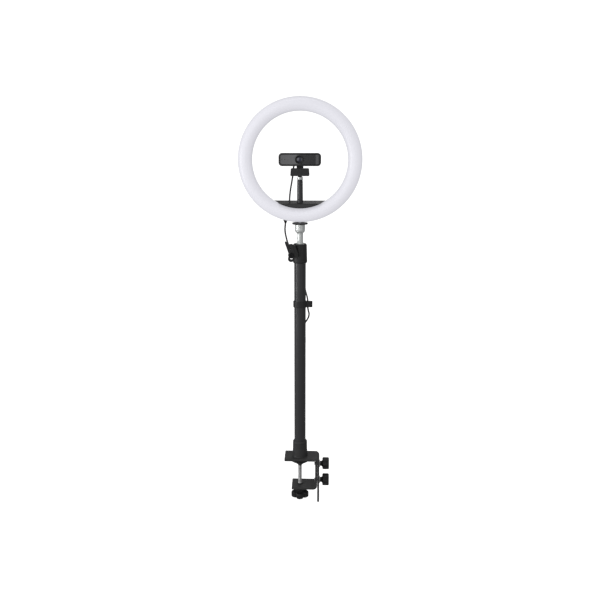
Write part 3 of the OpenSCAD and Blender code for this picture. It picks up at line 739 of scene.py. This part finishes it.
def hexEdge(flat):
    return lambda angle: flat / 2 / math.cos((angle + math.pi / 6) % (math.pi / 3) - math.pi / 6)


def crossEdge(arm, half):
    def reach(angle):
        c, s = abs(math.cos(angle)) + 1e-9, abs(math.sin(angle)) + 1e-9
        return max(min(arm / c, half / s), min(half / c, arm / s))
    return reach


def starEdge(radius, lobes, lobe):
    def reach(angle):
        pitch = 2 * math.pi / lobes
        off = (angle + pitch / 2) % pitch - pitch / 2
        inside = lobe ** 2 - ((radius - lobe) * math.sin(off)) ** 2
        tip = (radius - lobe) * math.cos(off) + math.sqrt(inside) if inside > 0 else 0
        return max(radius - 0.7 * lobe, tip)
    return reach


def ribbedEdge(radius, ribs, depth):
    return lambda angle: radius - depth / 2 + depth / 2 * math.cos(ribs * angle)


def lofted(sections, turn=None, count=96):
    # skins a stack of (edge, height) sections and closes both ends
    bm = bmesh.new()
    loops = []
    for edge, height in sections:
        angles = [2 * math.pi * step / count for step in range(count)]
        verts = [bm.verts.new((edge(a) * math.cos(a), edge(a) * math.sin(a), height)) for a in angles]
        loops.append([bm.edges.new(pair) for pair in zip(verts, verts[1:] + verts[:1])])
    for lower, upper in zip(loops, loops[1:]):
        bmesh.ops.bridge_loops(bm, edges=lower + upper)
    for loop in (loops[0], loops[-1]):
        bmesh.ops.edgeloop_fill(bm, edges=loop)
    if turn:
        bmesh.ops.transform(bm, matrix=turn, verts=bm.verts)
    return bm


def threadedRod(radius, pitch, length, turn=None, steps=24):
    # a rod with a helical thread, cut square at both ends
    depth = 0.6 * pitch
    profile = [(radius - depth, -pitch), (radius, -0.6 * pitch), (radius, -0.45 * pitch),
               (radius - depth, 0)]
    bm = bmesh.new()
    verts = [bm.verts.new((r, 0, h)) for r, h in profile]
    edges = [bm.edges.new(pair) for pair in zip(verts, verts[1:])]
    turns = math.ceil(length / pitch) + 1
    bmesh.ops.spin(bm, geom=verts + edges, cent=(0, 0, 0), axis=(0, 0, 1), dvec=(0, 0, pitch / steps),
                   angle=2 * math.pi * turns, steps=steps * turns, use_merge=False)
    bmesh.ops.remove_doubles(bm, verts=bm.verts, dist=pitch * 0.01)
    for height, side in ((0, -1), (length, 1)):
        whole = bm.verts[:] + bm.edges[:] + bm.faces[:]
        bmesh.ops.bisect_plane(bm, geom=whole, dist=1e-7, plane_co=(0, 0, height), plane_no=(0, 0, side),
                               clear_outer=True)
        rim = [e for e in bm.edges if e.is_boundary and all(abs(v.co.z - height) < 1e-6 for v in e.verts)]
        bmesh.ops.edgeloop_fill(bm, edges=rim)
    if turn:
        bmesh.ops.transform(bm, matrix=turn, verts=bm.verts)
    return bm


def heapOf(*shapes):
    # one mesh made of several shapes
    whole = bmesh.new()
    for shape in shapes:
        joinInto(whole, shape)
    return whole


facing = Matrix.Rotation(math.pi / 2, 4, "X")  # an outline drawn in X and Y stands up and faces the camera
alongX = Matrix.Rotation(math.pi / 2, 4, "Y")


def at(x=0.0, y=0.0, z=0.0):
    return Matrix.Translation((x, y, z))


# light ring

ring = {"wall": 0.002, "steps": 180, "arcSteps": 26, "shellEdge": 0.0003, "screws": 6, "screwRadius": 0.0026}


def makeRing(r):
    low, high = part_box("diffuser")
    section = -low.y
    radius = high.x - section
    across = towards((0, 1, 0), ringCentre)
    angles = [math.pi * step / r["arcSteps"] for step in range(r["arcSteps"] + 1)]
    outside = [(radius + section * math.cos(a), -section * math.sin(a)) for a in angles]
    thin = section - r["wall"]
    inside = [(radius + thin * math.cos(a), -thin * math.sin(a)) for a in reversed(angles)]
    shell = lathe(outside + inside, r["steps"], across, True)
    addPiece("ringDiffuser", finishMesh(shell, "ringDiffuser"), "head", "opal", None, ["diffuser"])
    back = softened("rear_shell", r["shellEdge"])
    addPiece("ringShell", finishMesh(back, "ringShell"), "head", "black_plastic", "shell_plastic",
             ["rear_shell"])
    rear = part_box("rear_shell")[1].y
    size = r["screwRadius"]
    heads = bmesh.new()
    collars = bmesh.new()
    for index in range(r["screws"]):
        angle = 2 * math.pi * index / r["screws"]  # none behind the swivel's neck
        spot = ringCentre + Vector((radius * math.cos(angle), rear - 0.0006, radius * math.sin(angle)))
        place = towards((0, 1, 0), spot)
        rim = [(size, 0), (1.5 * size, 0), (1.5 * size, 0.0007), (1.3 * size, 0.001), (size, 0.001)]
        joinInto(collars, lathe(rim, 32, place, True))
        joinInto(heads, crossHead(size, 0.0007, place))
    addPiece("ringScrewCollars", finishMesh(collars, "ringScrewCollars"), "head", "black_plastic",
             "shell_plastic")
    addPiece("ringScrews", finishMesh(heads, "ringScrews"), "head", "zinc_steel")


def crossHead(radius, height, turn):
    # a pan head with a cross-shaped driver recess
    cross = crossEdge(0.62 * radius, 0.16 * radius)
    sections = [(circleEdge(radius), 0), (circleEdge(radius), 0.6 * height),
                (circleEdge(0.86 * radius), 0.92 * height),
                (circleEdge(0.7 * radius), height), (cross, height), (cross, 0.3 * height)]
    return lofted(sections, turn, 48)


makeRing(ring)
print("ring made")


# control case in the foot of the ring

case = {"edge": 0.0005, "panelInset": 0.0014, "panelProud": 0.0006, "slope": 8, "panelSteps": 40}
button = {"cap": 0.003, "flange": 0.0038, "stem": 0.002, "capHeight": 0.003, "flangeHeight": 0.001,
          "dish": 0.0004}


def makeCase(c):
    for node in ("control_case", "control_back"):
        name = {"control_case": "caseFront", "control_back": "caseBack"}[node]
        addPiece(name, finishMesh(softened(node, c["edge"]), name), "head", "black_plastic", None, [node])
    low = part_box("control_case")[0]
    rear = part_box("control_back")[1]
    radius = ringCentre.z - low.z - c["panelInset"]
    chord = rear.z - (rear.y - low.y) * math.tan(math.radians(c["slope"])) - c["panelInset"] - ringCentre.z
    half = math.sqrt(radius ** 2 - chord ** 2)
    spots = [half * (2 * step / c["panelSteps"] - 1) for step in range(c["panelSteps"] + 1)]
    outline = [(x, -math.sqrt(radius ** 2 - x ** 2)) for x in spots]
    panel = extruded(outline, c["panelProud"], 0.0002, at(0, low.y + 0.0002, ringCentre.z) @ facing, 2)
    addPiece("casePanel", finishMesh(panel, "casePanel"), "head", "black_plastic", "panel")


def makeButtons(b):
    for node in ("power_button", "dimmer_button", "brighter_button", "colour_button"):
        low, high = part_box(node)
        centre = middle(node)
        end = high.y - low.y
        step = end - b["capHeight"]
        profile = [(0, 0), (b["stem"], 0), (b["stem"], step - b["flangeHeight"]),
                   (b["flange"], step - b["flangeHeight"]),
                   (b["flange"], step), (b["cap"], step), (b["cap"], end),
                   (0.7 * b["cap"], end - b["dish"] / 2),
                   (0, end - b["dish"])]
        shape = lathe(fillet(profile, 0.0004), 40, towards((0, 1, 0), (centre.x, low.y, centre.z)))
        name = node.split("_")[0] + "Button"
        addPiece(name, finishMesh(shape, name), node, "button_grey", None, [node])


def makeCaseScrews():
    low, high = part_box("case_screws")
    centre = middle("case_screws")
    radius = (high.z - low.z) / 2
    whole = bmesh.new()
    for x in (low.x + radius, high.x - radius):
        head = at(x, high.y - 0.00135, centre.z) @ towards((0, 1, 0))
        joinInto(whole, crossHead(radius, 0.00135, head))
        shank = towards((0, 1, 0), (x, low.y, centre.z))
        joinInto(whole, threadedRod(radius * 0.52, 0.0008, high.y - low.y - 0.001, shank, 16))
    addPiece("caseScrews", finishMesh(whole, "caseScrews"), "head", "zinc_steel", None, ["case_screws"])


boot = {"top": 0.0044, "tip": 0.0024, "ribs": 3}


def makeBoot(b):
    low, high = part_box("lead_boot")
    centre = middle("lead_boot")
    cone = 0.0046
    profile = [(0, 0), (b["tip"], 0)]
    for rib in range(b["ribs"]):
        start = (rib + 0.5) / b["ribs"]
        radius = b["tip"] + (b["top"] - b["tip"]) * start
        profile += [(radius, cone * (start - 0.14)), (radius - 0.0004, cone * start),
                    (radius, cone * (start + 0.14))]
    profile += [(b["top"], cone), (b["top"], high.z - low.z), (0, high.z - low.z)]
    shape = lathe(fillet(profile, 0.0002), 40, at(centre.x, centre.y, low.z))
    addPiece("leadBoot", finishMesh(shape, "leadBoot"), "head", "rubber", None, ["lead_boot"])


makeCase(case)
makeButtons(button)
makeCaseScrews()
makeBoot(boot)
print("control case made")


# webcam, its clip and its arm

webcam = {"edge": 0.0007, "rim": 0.0088, "dome": 0.0056, "rise": 0.0011, "vents": 5, "ventPitch": 0.0042,
          "ventWidth": 0.0016, "ventHeight": 0.011, "micOffsets": (-0.036, -0.030), "micRadius": 0.0008}


def makeWebcam(w):
    bezel = finishMesh(softened("cam_bezel", w["edge"]), "webcamBezel")
    addPiece("webcamBezel", bezel, "camera", "gloss_black", None, ["cam_bezel"])
    shell = finishMesh(softened("cam_shell", w["edge"]), "webcamShell")
    addPiece("webcamShell", shell, "camera", "black_plastic", None, ["cam_shell"])
    low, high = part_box("lens_barrel")
    towardsFront = towards((0, -1, 0), (lensCentre.x, 0, lensCentre.z))
    front, rim = -low.y, w["rim"]
    barrel = [(0, -high.y), (0.006, -high.y), (0.006, front - 0.0049), (rim, front - 0.0049), (rim, front),
              (rim - 0.0012, front), (rim - 0.0017, front - 0.0009), (rim - 0.0023, front - 0.0009),
              (rim - 0.0026, front - 0.0016), (w["dome"], front - 0.0016), (w["dome"], front - 0.0022),
              (0, front - 0.0022)]
    body = finishMesh(lathe(fillet(barrel, 0.0002, 2), 72, towardsFront), "lensBody")
    addPiece("lensBody", body, "camera", "gloss_black", None, ["lens_barrel"])
    cap = [(0, front - 0.0023), (w["dome"] - 0.0001, front - 0.0023)]
    for step in range(9):
        share = 1 - step / 8
        cap.append((share * (w["dome"] - 0.0001), front - 0.0020 + w["rise"] * (1 - share ** 2)))
    addPiece("lensDome", finishMesh(lathe(cap, 72, towardsFront), "lensDome"), "camera", "smoked_glass",
             "lens")
    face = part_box("cam_glass")[0].y
    mics = bmesh.new()
    for offset in w["micOffsets"]:
        hole = [(0, 0), (w["micRadius"], 0), (w["micRadius"], 0.00025), (0.6 * w["micRadius"], 0.0001),
                (0, 0.0001)]
        joinInto(mics, lathe(hole, 20, towards((0, -1, 0),
                                               (lensCentre.x + offset, face + 0.0001, lensCentre.z))))
    addPiece("webcamMics", finishMesh(mics, "webcamMics"), "camera", "gloss_black")
    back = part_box("cam_shell")[1].y
    vents = bmesh.new()
    for side in (-1, 1):
        for index in range(w["vents"]):
            x = side * (0.014 + index * w["ventPitch"])
            slot = roundedBar(w["ventWidth"], w["ventHeight"], w["ventWidth"] * 0.49, 4)
            joinInto(vents, extruded(slot, 0.0004, 0.0001, at(x, back + 0.0002, lensCentre.z) @ facing, 1))
    addPiece("webcamVents", finishMesh(vents, "webcamVents"), "camera", "gloss_black")


arm = {"foot": 0.0064, "top": 0.0058, "bore": 0.0032, "shoulder": 0.0061, "stud": 0.0031, "clipEdge": 0.0005}


def makeArm(a):
    low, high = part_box("arm_post")
    step = low.z + 0.0148
    outside = [(0, low.z), (a["foot"], low.z), (a["foot"], step), (a["foot"] - 0.0003, step + 0.0004),
               (a["foot"] - 0.0003, step + 0.0012), (a["foot"] - 0.0001, step + 0.0016),
               (a["top"] + 0.0001, high.z - 0.003), (a["top"] - 0.0003, high.z - 0.0026),
               (a["top"] - 0.0003, high.z - 0.002), (a["top"], high.z - 0.0016), (a["top"], high.z),
               (a["bore"], high.z), (a["bore"], high.z - 0.01), (0, high.z - 0.01)]
    post = finishMesh(lathe(fillet(outside, 0.0002), 56), "webcamArm")
    addPiece("webcamArm", post, "head", "tube_black", None, ["arm_post"])
    foot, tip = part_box("arm_stud")
    base = high.z
    shoulder, stud = a["shoulder"], a["stud"]
    turned = [(0, foot.z), (stud, foot.z), (stud, base + 0.0001), (shoulder, base + 0.0001),
              (shoulder, base + 0.0012),
              (shoulder - 0.0003, base + 0.0014), (shoulder - 0.0003, base + 0.0018),
              (shoulder, base + 0.002),
              (shoulder, base + 0.0054), (stud, base + 0.0054), (stud, tip.z), (0, tip.z)]
    addPiece("webcamStud", finishMesh(lathe(fillet(turned, 0.00035), 56), "webcamStud"), "head", "nickel",
             None,
             ["arm_stud"])
    block = finishMesh(softened("clip_block", a["clipEdge"]), "clipBlock")
    addPiece("clipBlock", block, "clip", "black_plastic", None, ["clip_block"])
    leg = finishMesh(softened("clip_leg", a["clipEdge"]), "clipLeg")
    addPiece("clipLeg", leg, "clip_leg", "black_plastic", None, ["clip_leg"])


makeWebcam(webcam)
makeArm(arm)
print("webcam made")


# post: tubes, spigot, collar, lever and lead clip

post = {
    "wall": 0.0013, "rimStep": 0.0004, "steps": 96, "swivelEdge": 0.0006, "collarEdge": 0.0007,
    "clipEdge": 0.0006,
    "neck": 0.0065, "head": 0.0107, "plugRadius": 0.0076, "tip": 0.003175,
    "neckTop": 0.5072, "headFoot": 0.5121, "groove": (0.5136, 0.5139, 0.5144, 0.5147),
}
lever = {"edge": 0.0009, "ribWidth": 0.0055, "ribLength": 0.019, "lean": -17, "rib": (-0.0145, 0.4735),
         "boltFlat": 0.005, "shank": 0.0366}


def makePost(p):
    for node, name, body, slot in (("outer_tube", "outerTube", "root", "tube_black"),
                                   ("inner_tube", "innerTube", "mast", "tube_inner")):
        low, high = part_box(node)
        radius, step = high.x, p["rimStep"]
        bore = radius - p["wall"]
        profile = [(bore, low.z), (radius, low.z), (radius, low.z + 0.004), (radius, high.z - 0.004),
                   (radius, high.z - step), (radius - step, high.z), (bore, high.z), (bore, high.z - 0.004),
                   (bore, low.z + 0.004)]
        tube = finishMesh(lathe(profile, p["steps"], None, True), name)
        addPiece(name, tube, body, slot, None, [node])
    low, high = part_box("spigot")
    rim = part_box("inner_tube")[1]
    bore, face = rim.x - 0.00125, high.z - 0.0035
    turned = [(0, low.z), (bore, low.z), (bore, rim.z + 0.0001), (rim.x, rim.z + 0.0001),
              (rim.x, rim.z + 0.0012),
              (p["plugRadius"], rim.z + 0.003), (p["neck"], rim.z + 0.0075), (p["neck"], p["neckTop"]),
              (p["head"], p["headFoot"]), (p["head"], p["groove"][0]),
              (p["head"] - 0.0003, p["groove"][1]), (p["head"] - 0.0003, p["groove"][2]),
              (p["head"], p["groove"][3]), (p["head"], face - 0.0006), (p["head"] - 0.0006, face),
              (p["tip"], face),
              (p["tip"], high.z), (0, high.z)]
    addPiece("spigot", finishMesh(lathe(fillet(turned, 0.0005), 80), "nickelSpigot"), "mast", "nickel",
             None, ["spigot"])
    swivel = finishMesh(softened("swivel_base", p["swivelEdge"]), "swivelBase")
    addPiece("swivelBase", swivel, "swivel", "black_plastic", None, ["swivel_base"])
    collar = finishMesh(softened("lock_collar", p["collarEdge"]), "lockCollar")
    addPiece("lockCollar", collar, "root", "black_plastic", None, ["lock_collar"])
    clip = finishMesh(softened("cable_clip", p["clipEdge"]), "leadClip")
    addPiece("leadClip", clip, "root", "black_plastic", None, ["cable_clip"])


def makeLever(v):
    handle = finishMesh(softened("lock_lever", v["edge"], 3), "lockLever")
    addPiece("lockLever", handle, "lever", "black_plastic", "knob_plastic", ["lock_lever"])
    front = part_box("lock_lever")[0].y
    x, z = v["rib"]
    lean = Matrix.Rotation(math.radians(v["lean"]), 4, "Y")
    rib = extruded(roundedBar(v["ribWidth"], v["ribLength"], v["ribWidth"] * 0.45), 0.0008, 0.0003,
                   at(x, front + 0.0002, z) @ lean @ facing)
    addPiece("leverRib", finishMesh(rib, "leverRib"), "lever", "black_plastic", "knob_plastic")
    low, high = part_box("lever_bolt")
    centre = middle("lever_bolt")
    head = (high.z - low.z) / 2
    hexagon = hexEdge(v["boltFlat"])
    sections = [(circleEdge(head * 0.6), 0), (circleEdge(head * 0.6), v["shank"]),
                (circleEdge(head), v["shank"]),
                (circleEdge(head), 0.0392), (circleEdge(head * 0.92), 0.0398), (hexagon, 0.0398),
                (hexagon, 0.0376)]
    bolt = lofted(sections, towards((0, -1, 0), (centre.x, high.y, centre.z)), 72)
    addPiece("leverBolt", finishMesh(bolt, "leverBolt"), "lever", "black_steel", None, ["lever_bolt"])
    nut = finishMesh(softened("lever_nut", 0.0003), "leverNut")
    addPiece("leverNut", nut, "root", "black_steel", None, ["lever_nut"])


makePost(post)
makeLever(lever)
print("post made")


# clamp

clamp = {
    "plateEdge": 0.0006, "threadPitch": 0.00125,
    "socket": [(0.0174, 0), (0.0169, 0.002), (0.0159, 0.020), (0.0158, 0.0307), (0.0151, 0.0307),
               (0.0151, 0.0315),
               (0.0158, 0.0315), (0.0158, 0.0338), (0.0134, 0.0368)],  # radius and height over the upper jaw
    "padRim": 0.0018, "padGrooves": 4, "grooveDepth": 0.0003,
}
starKnob = {"lobes": 5, "lobe": 0.008, "hubTop": 0.0129, "hubFoot": 0.0124, "ribs": 20, "ribDepth": 0.0011,
            "hubHeight": 0.0071}
sideKnob = {"lobes": 7, "lobe": 0.004, "neck": 0.0056, "neckLength": 0.0034, "headStart": 0.0052}


def domedStar(radius, lobes, lobe, low, high, turn):
    # a lobed head whose rims are rounded and whose faces are slightly dished
    steps = [(0.0022, 0.0), (0.0012, 0.0004), (0.0004, 0.0012), (0.0, 0.0024)]
    rising = [(starEdge(radius - cut, lobes, lobe - 0.4 * cut), low + rise) for cut, rise in steps]
    falling = [(starEdge(radius - cut, lobes, lobe - 0.4 * cut), high - rise) for cut,
               rise in reversed(steps)]
    dish = [(circleEdge(0.5 * radius), high), (circleEdge(0.44 * radius), high - 0.0006)]
    return lofted([(circleEdge(0.5 * radius), low)] + rising + falling + dish, turn, 168)


def makeClampPlates(c):
    for node, name, body in (("upper_jaw", "upperJaw", "root"), ("lower_jaw", "lowerJaw", "lower_jaw")):
        plate = finishMesh(softened(node, c["plateEdge"]), name)
        addPiece(name, plate, body, "plate_steel", None, [node])
    rubberSheet = finishMesh(softened("jaw_pad", 0.0003), "jawPad")
    addPiece("jawPad", rubberSheet, "root", "rubber", None, ["jaw_pad"])
    low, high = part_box("post_socket")
    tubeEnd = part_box("outer_tube")
    bore = tubeEnd[1].x + 0.00005
    outside = [(radius, low.z + height) for radius, height in c["socket"]]
    profile = fillet([(0.00405, low.z)] + outside + [(bore, high.z)], 0.0003)
    profile += [(bore, tubeEnd[0].z), (0.00405, tubeEnd[0].z)]
    socket = finishMesh(lathe(profile, 96, None, True), "postSocket")
    addPiece("postSocket", socket, "root", "tube_black", "socket", ["post_socket"])
    nut = finishMesh(softened("clamp_nut", 0.0003), "clampNut")
    addPiece("clampNut", nut, "lower_jaw", "plate_steel", None, ["clamp_nut"])


def makePressurePad(c):
    low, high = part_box("pressure_pad")
    radius, top = high.x, high.z
    below = top - c["padRim"]
    outside = [(0, top), (radius, top), (radius, below), (radius - 0.003, below - 0.0012),
               (radius - 0.0034, below - 0.0010), (0.0056, low.z + 0.001), (0.0052, low.z), (0.00405, low.z),
               (0.00405, low.z + 0.008), (0, low.z + 0.008)]
    dish = finishMesh(lathe(outside, 96), "pressurePad")
    addPiece("pressurePad", dish, "pad", "black_plastic", None, ["pressure_pad"])
    low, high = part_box("pad_face")
    groove = c["grooveDepth"]
    face = [(0, low.z), (high.x, low.z), (high.x, high.z - 0.0003), (high.x - 0.0003, high.z)]
    for index in range(c["padGrooves"]):
        start = high.x * (1 - (index + 1) / (c["padGrooves"] + 1))
        face += [(start + 0.0006, high.z), (start + 0.0003, high.z - groove),
                 (start - 0.0003, high.z - groove),
                 (start - 0.0006, high.z)]
    sheet = finishMesh(lathe(face + [(0, high.z)], 80), "padFace")
    addPiece("padFace", sheet, "pad", "rubber", None, ["pad_face"])


def makeScrew(c, k):
    low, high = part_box("clamp_screw")
    radius = high.x
    journal = 0.0084  # the plain end that turns in the pad
    thread = threadedRod(radius, c["threadPitch"], high.z - low.z - journal, at(0, 0, low.z))
    neck = high.z - journal
    plain = [(0, neck - 0.0002), (radius - 0.0003, neck - 0.0002), (radius - 0.0003, neck + 0.0045),
             (radius - 0.001, neck + 0.0045), (radius - 0.001, neck + 0.0061),
             (radius - 0.0001, neck + 0.0061),
             (radius - 0.0001, high.z), (0, high.z)]
    screw = heapOf(thread, lathe(fillet(plain, 0.0003), 40))
    addPiece("clampScrew", finishMesh(screw, "clampScrew", 40), "screw", "zinc_steel", None, ["clamp_screw"])
    low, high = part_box("clamp_knob")
    hubFoot = high.z - k["hubHeight"]
    lobesForward = Matrix.Rotation(-math.pi / 2, 4, "Z")
    head = domedStar(-low.y, k["lobes"], k["lobe"], low.z, hubFoot, lobesForward)
    ribs = [(k["hubFoot"], hubFoot - 0.001), (k["hubFoot"] + 0.0002, hubFoot + 0.002),
            (k["hubTop"], high.z - 0.001)]
    sections = [(ribbedEdge(radius, k["ribs"], k["ribDepth"]), height) for radius, height in ribs]
    sections += [(circleEdge(k["hubTop"] - 0.0006), high.z - 0.0003),
                 (circleEdge(k["hubTop"] - 0.0012), high.z)]
    hub = lofted(sections, None, 180)
    knob = finishMesh(heapOf(head, hub), "clampKnob")
    addPiece("clampKnob", knob, "screw", "black_plastic", "knob_plastic", ["clamp_knob"])


def makeSideKnobs(c, k):
    for end in ("upper", "lower"):
        body = f"side_knob_{end}"
        low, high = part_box(body)
        stud = f"side_stud_{end}"
        height = middle(stud).z
        turn = at(0, 0, height) @ alongX
        neck = [(0, low.x), (k["neck"], low.x), (k["neck"], low.x + k["neckLength"]),
                (high.z - height - 0.0036, low.x + k["headStart"] + 0.0006),
                (0, low.x + k["headStart"] + 0.0006)]
        head = domedStar(height - low.z, k["lobes"], k["lobe"], low.x + k["headStart"], high.x, turn)
        name = f"{end}SideKnob"
        knob = heapOf(head, lathe(fillet(neck, 0.0004), 48, turn))
        addPiece(name, finishMesh(knob, name), body, "black_plastic", "knob_plastic", [body])
        start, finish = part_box(stud)
        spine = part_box("upper_jaw")[1].x
        collar = [(0, spine + 0.0001), (0.008, spine + 0.0001), (0.008, spine + 0.0015), (0, spine + 0.0015)]
        rod = threadedRod(0.004, c["threadPitch"], finish.x - start.x, turn @ at(0, 0, start.x))
        name = f"{end}SideStud"
        mesh = finishMesh(heapOf(rod, lathe(fillet(collar, 0.0003), 48, turn)), name, 40)
        addPiece(name, mesh, body, "zinc_steel", None, [stud])


makeClampPlates(clamp)
makePressurePad(clamp)
makeScrew(clamp, starKnob)
makeSideKnobs(clamp, sideKnob)
print("clamp made")


# the CAD's own shapes that stay: inner parts, boards and pins

slotOf = {row["node"]: row["material_slot"] for row in frame["record"]["subparts"]}
for name, item in frame["nodes"].items():
    item.data.materials.clear()
    item.data.materials.append(finishes[slotOf[name]])


def makeStudio(s):
    # a pale floor that curves up into the walls, seen by the camera alone so that it doesn't tint the object
    ground = cadBox[0].z - s["floorGap"]
    reach, cove = s["floorRadius"], s["cove"]
    bend = [math.radians(15 * step) for step in range(7)]
    curve = [(reach + cove * math.sin(a), ground + cove * (1 - math.cos(a))) for a in bend]
    shell = lathe([(0, ground)] + curve + [(reach + cove, s["wallTop"]), (0, s["wallTop"] + cove)], 96)
    mesh = finishMesh(shell, "floor")
    mesh.materials.append(floorFinish())
    floor = bpy.data.objects.new("floor", mesh)
    bpy.context.scene.collection.objects.link(floor)
    floor.visible_diffuse = False
    floor.visible_glossy = False
    floor.visible_shadow = False
    world = bpy.data.worlds.new("studio")
    world.use_nodes = True
    background = world.node_tree.nodes["Background"]
    background.inputs["Color"].default_value = (1, 1, 1, 1)
    background.inputs["Strength"].default_value = s["ambient"]
    bpy.context.scene.world = world


makeStudio(studio)
print("studio made")
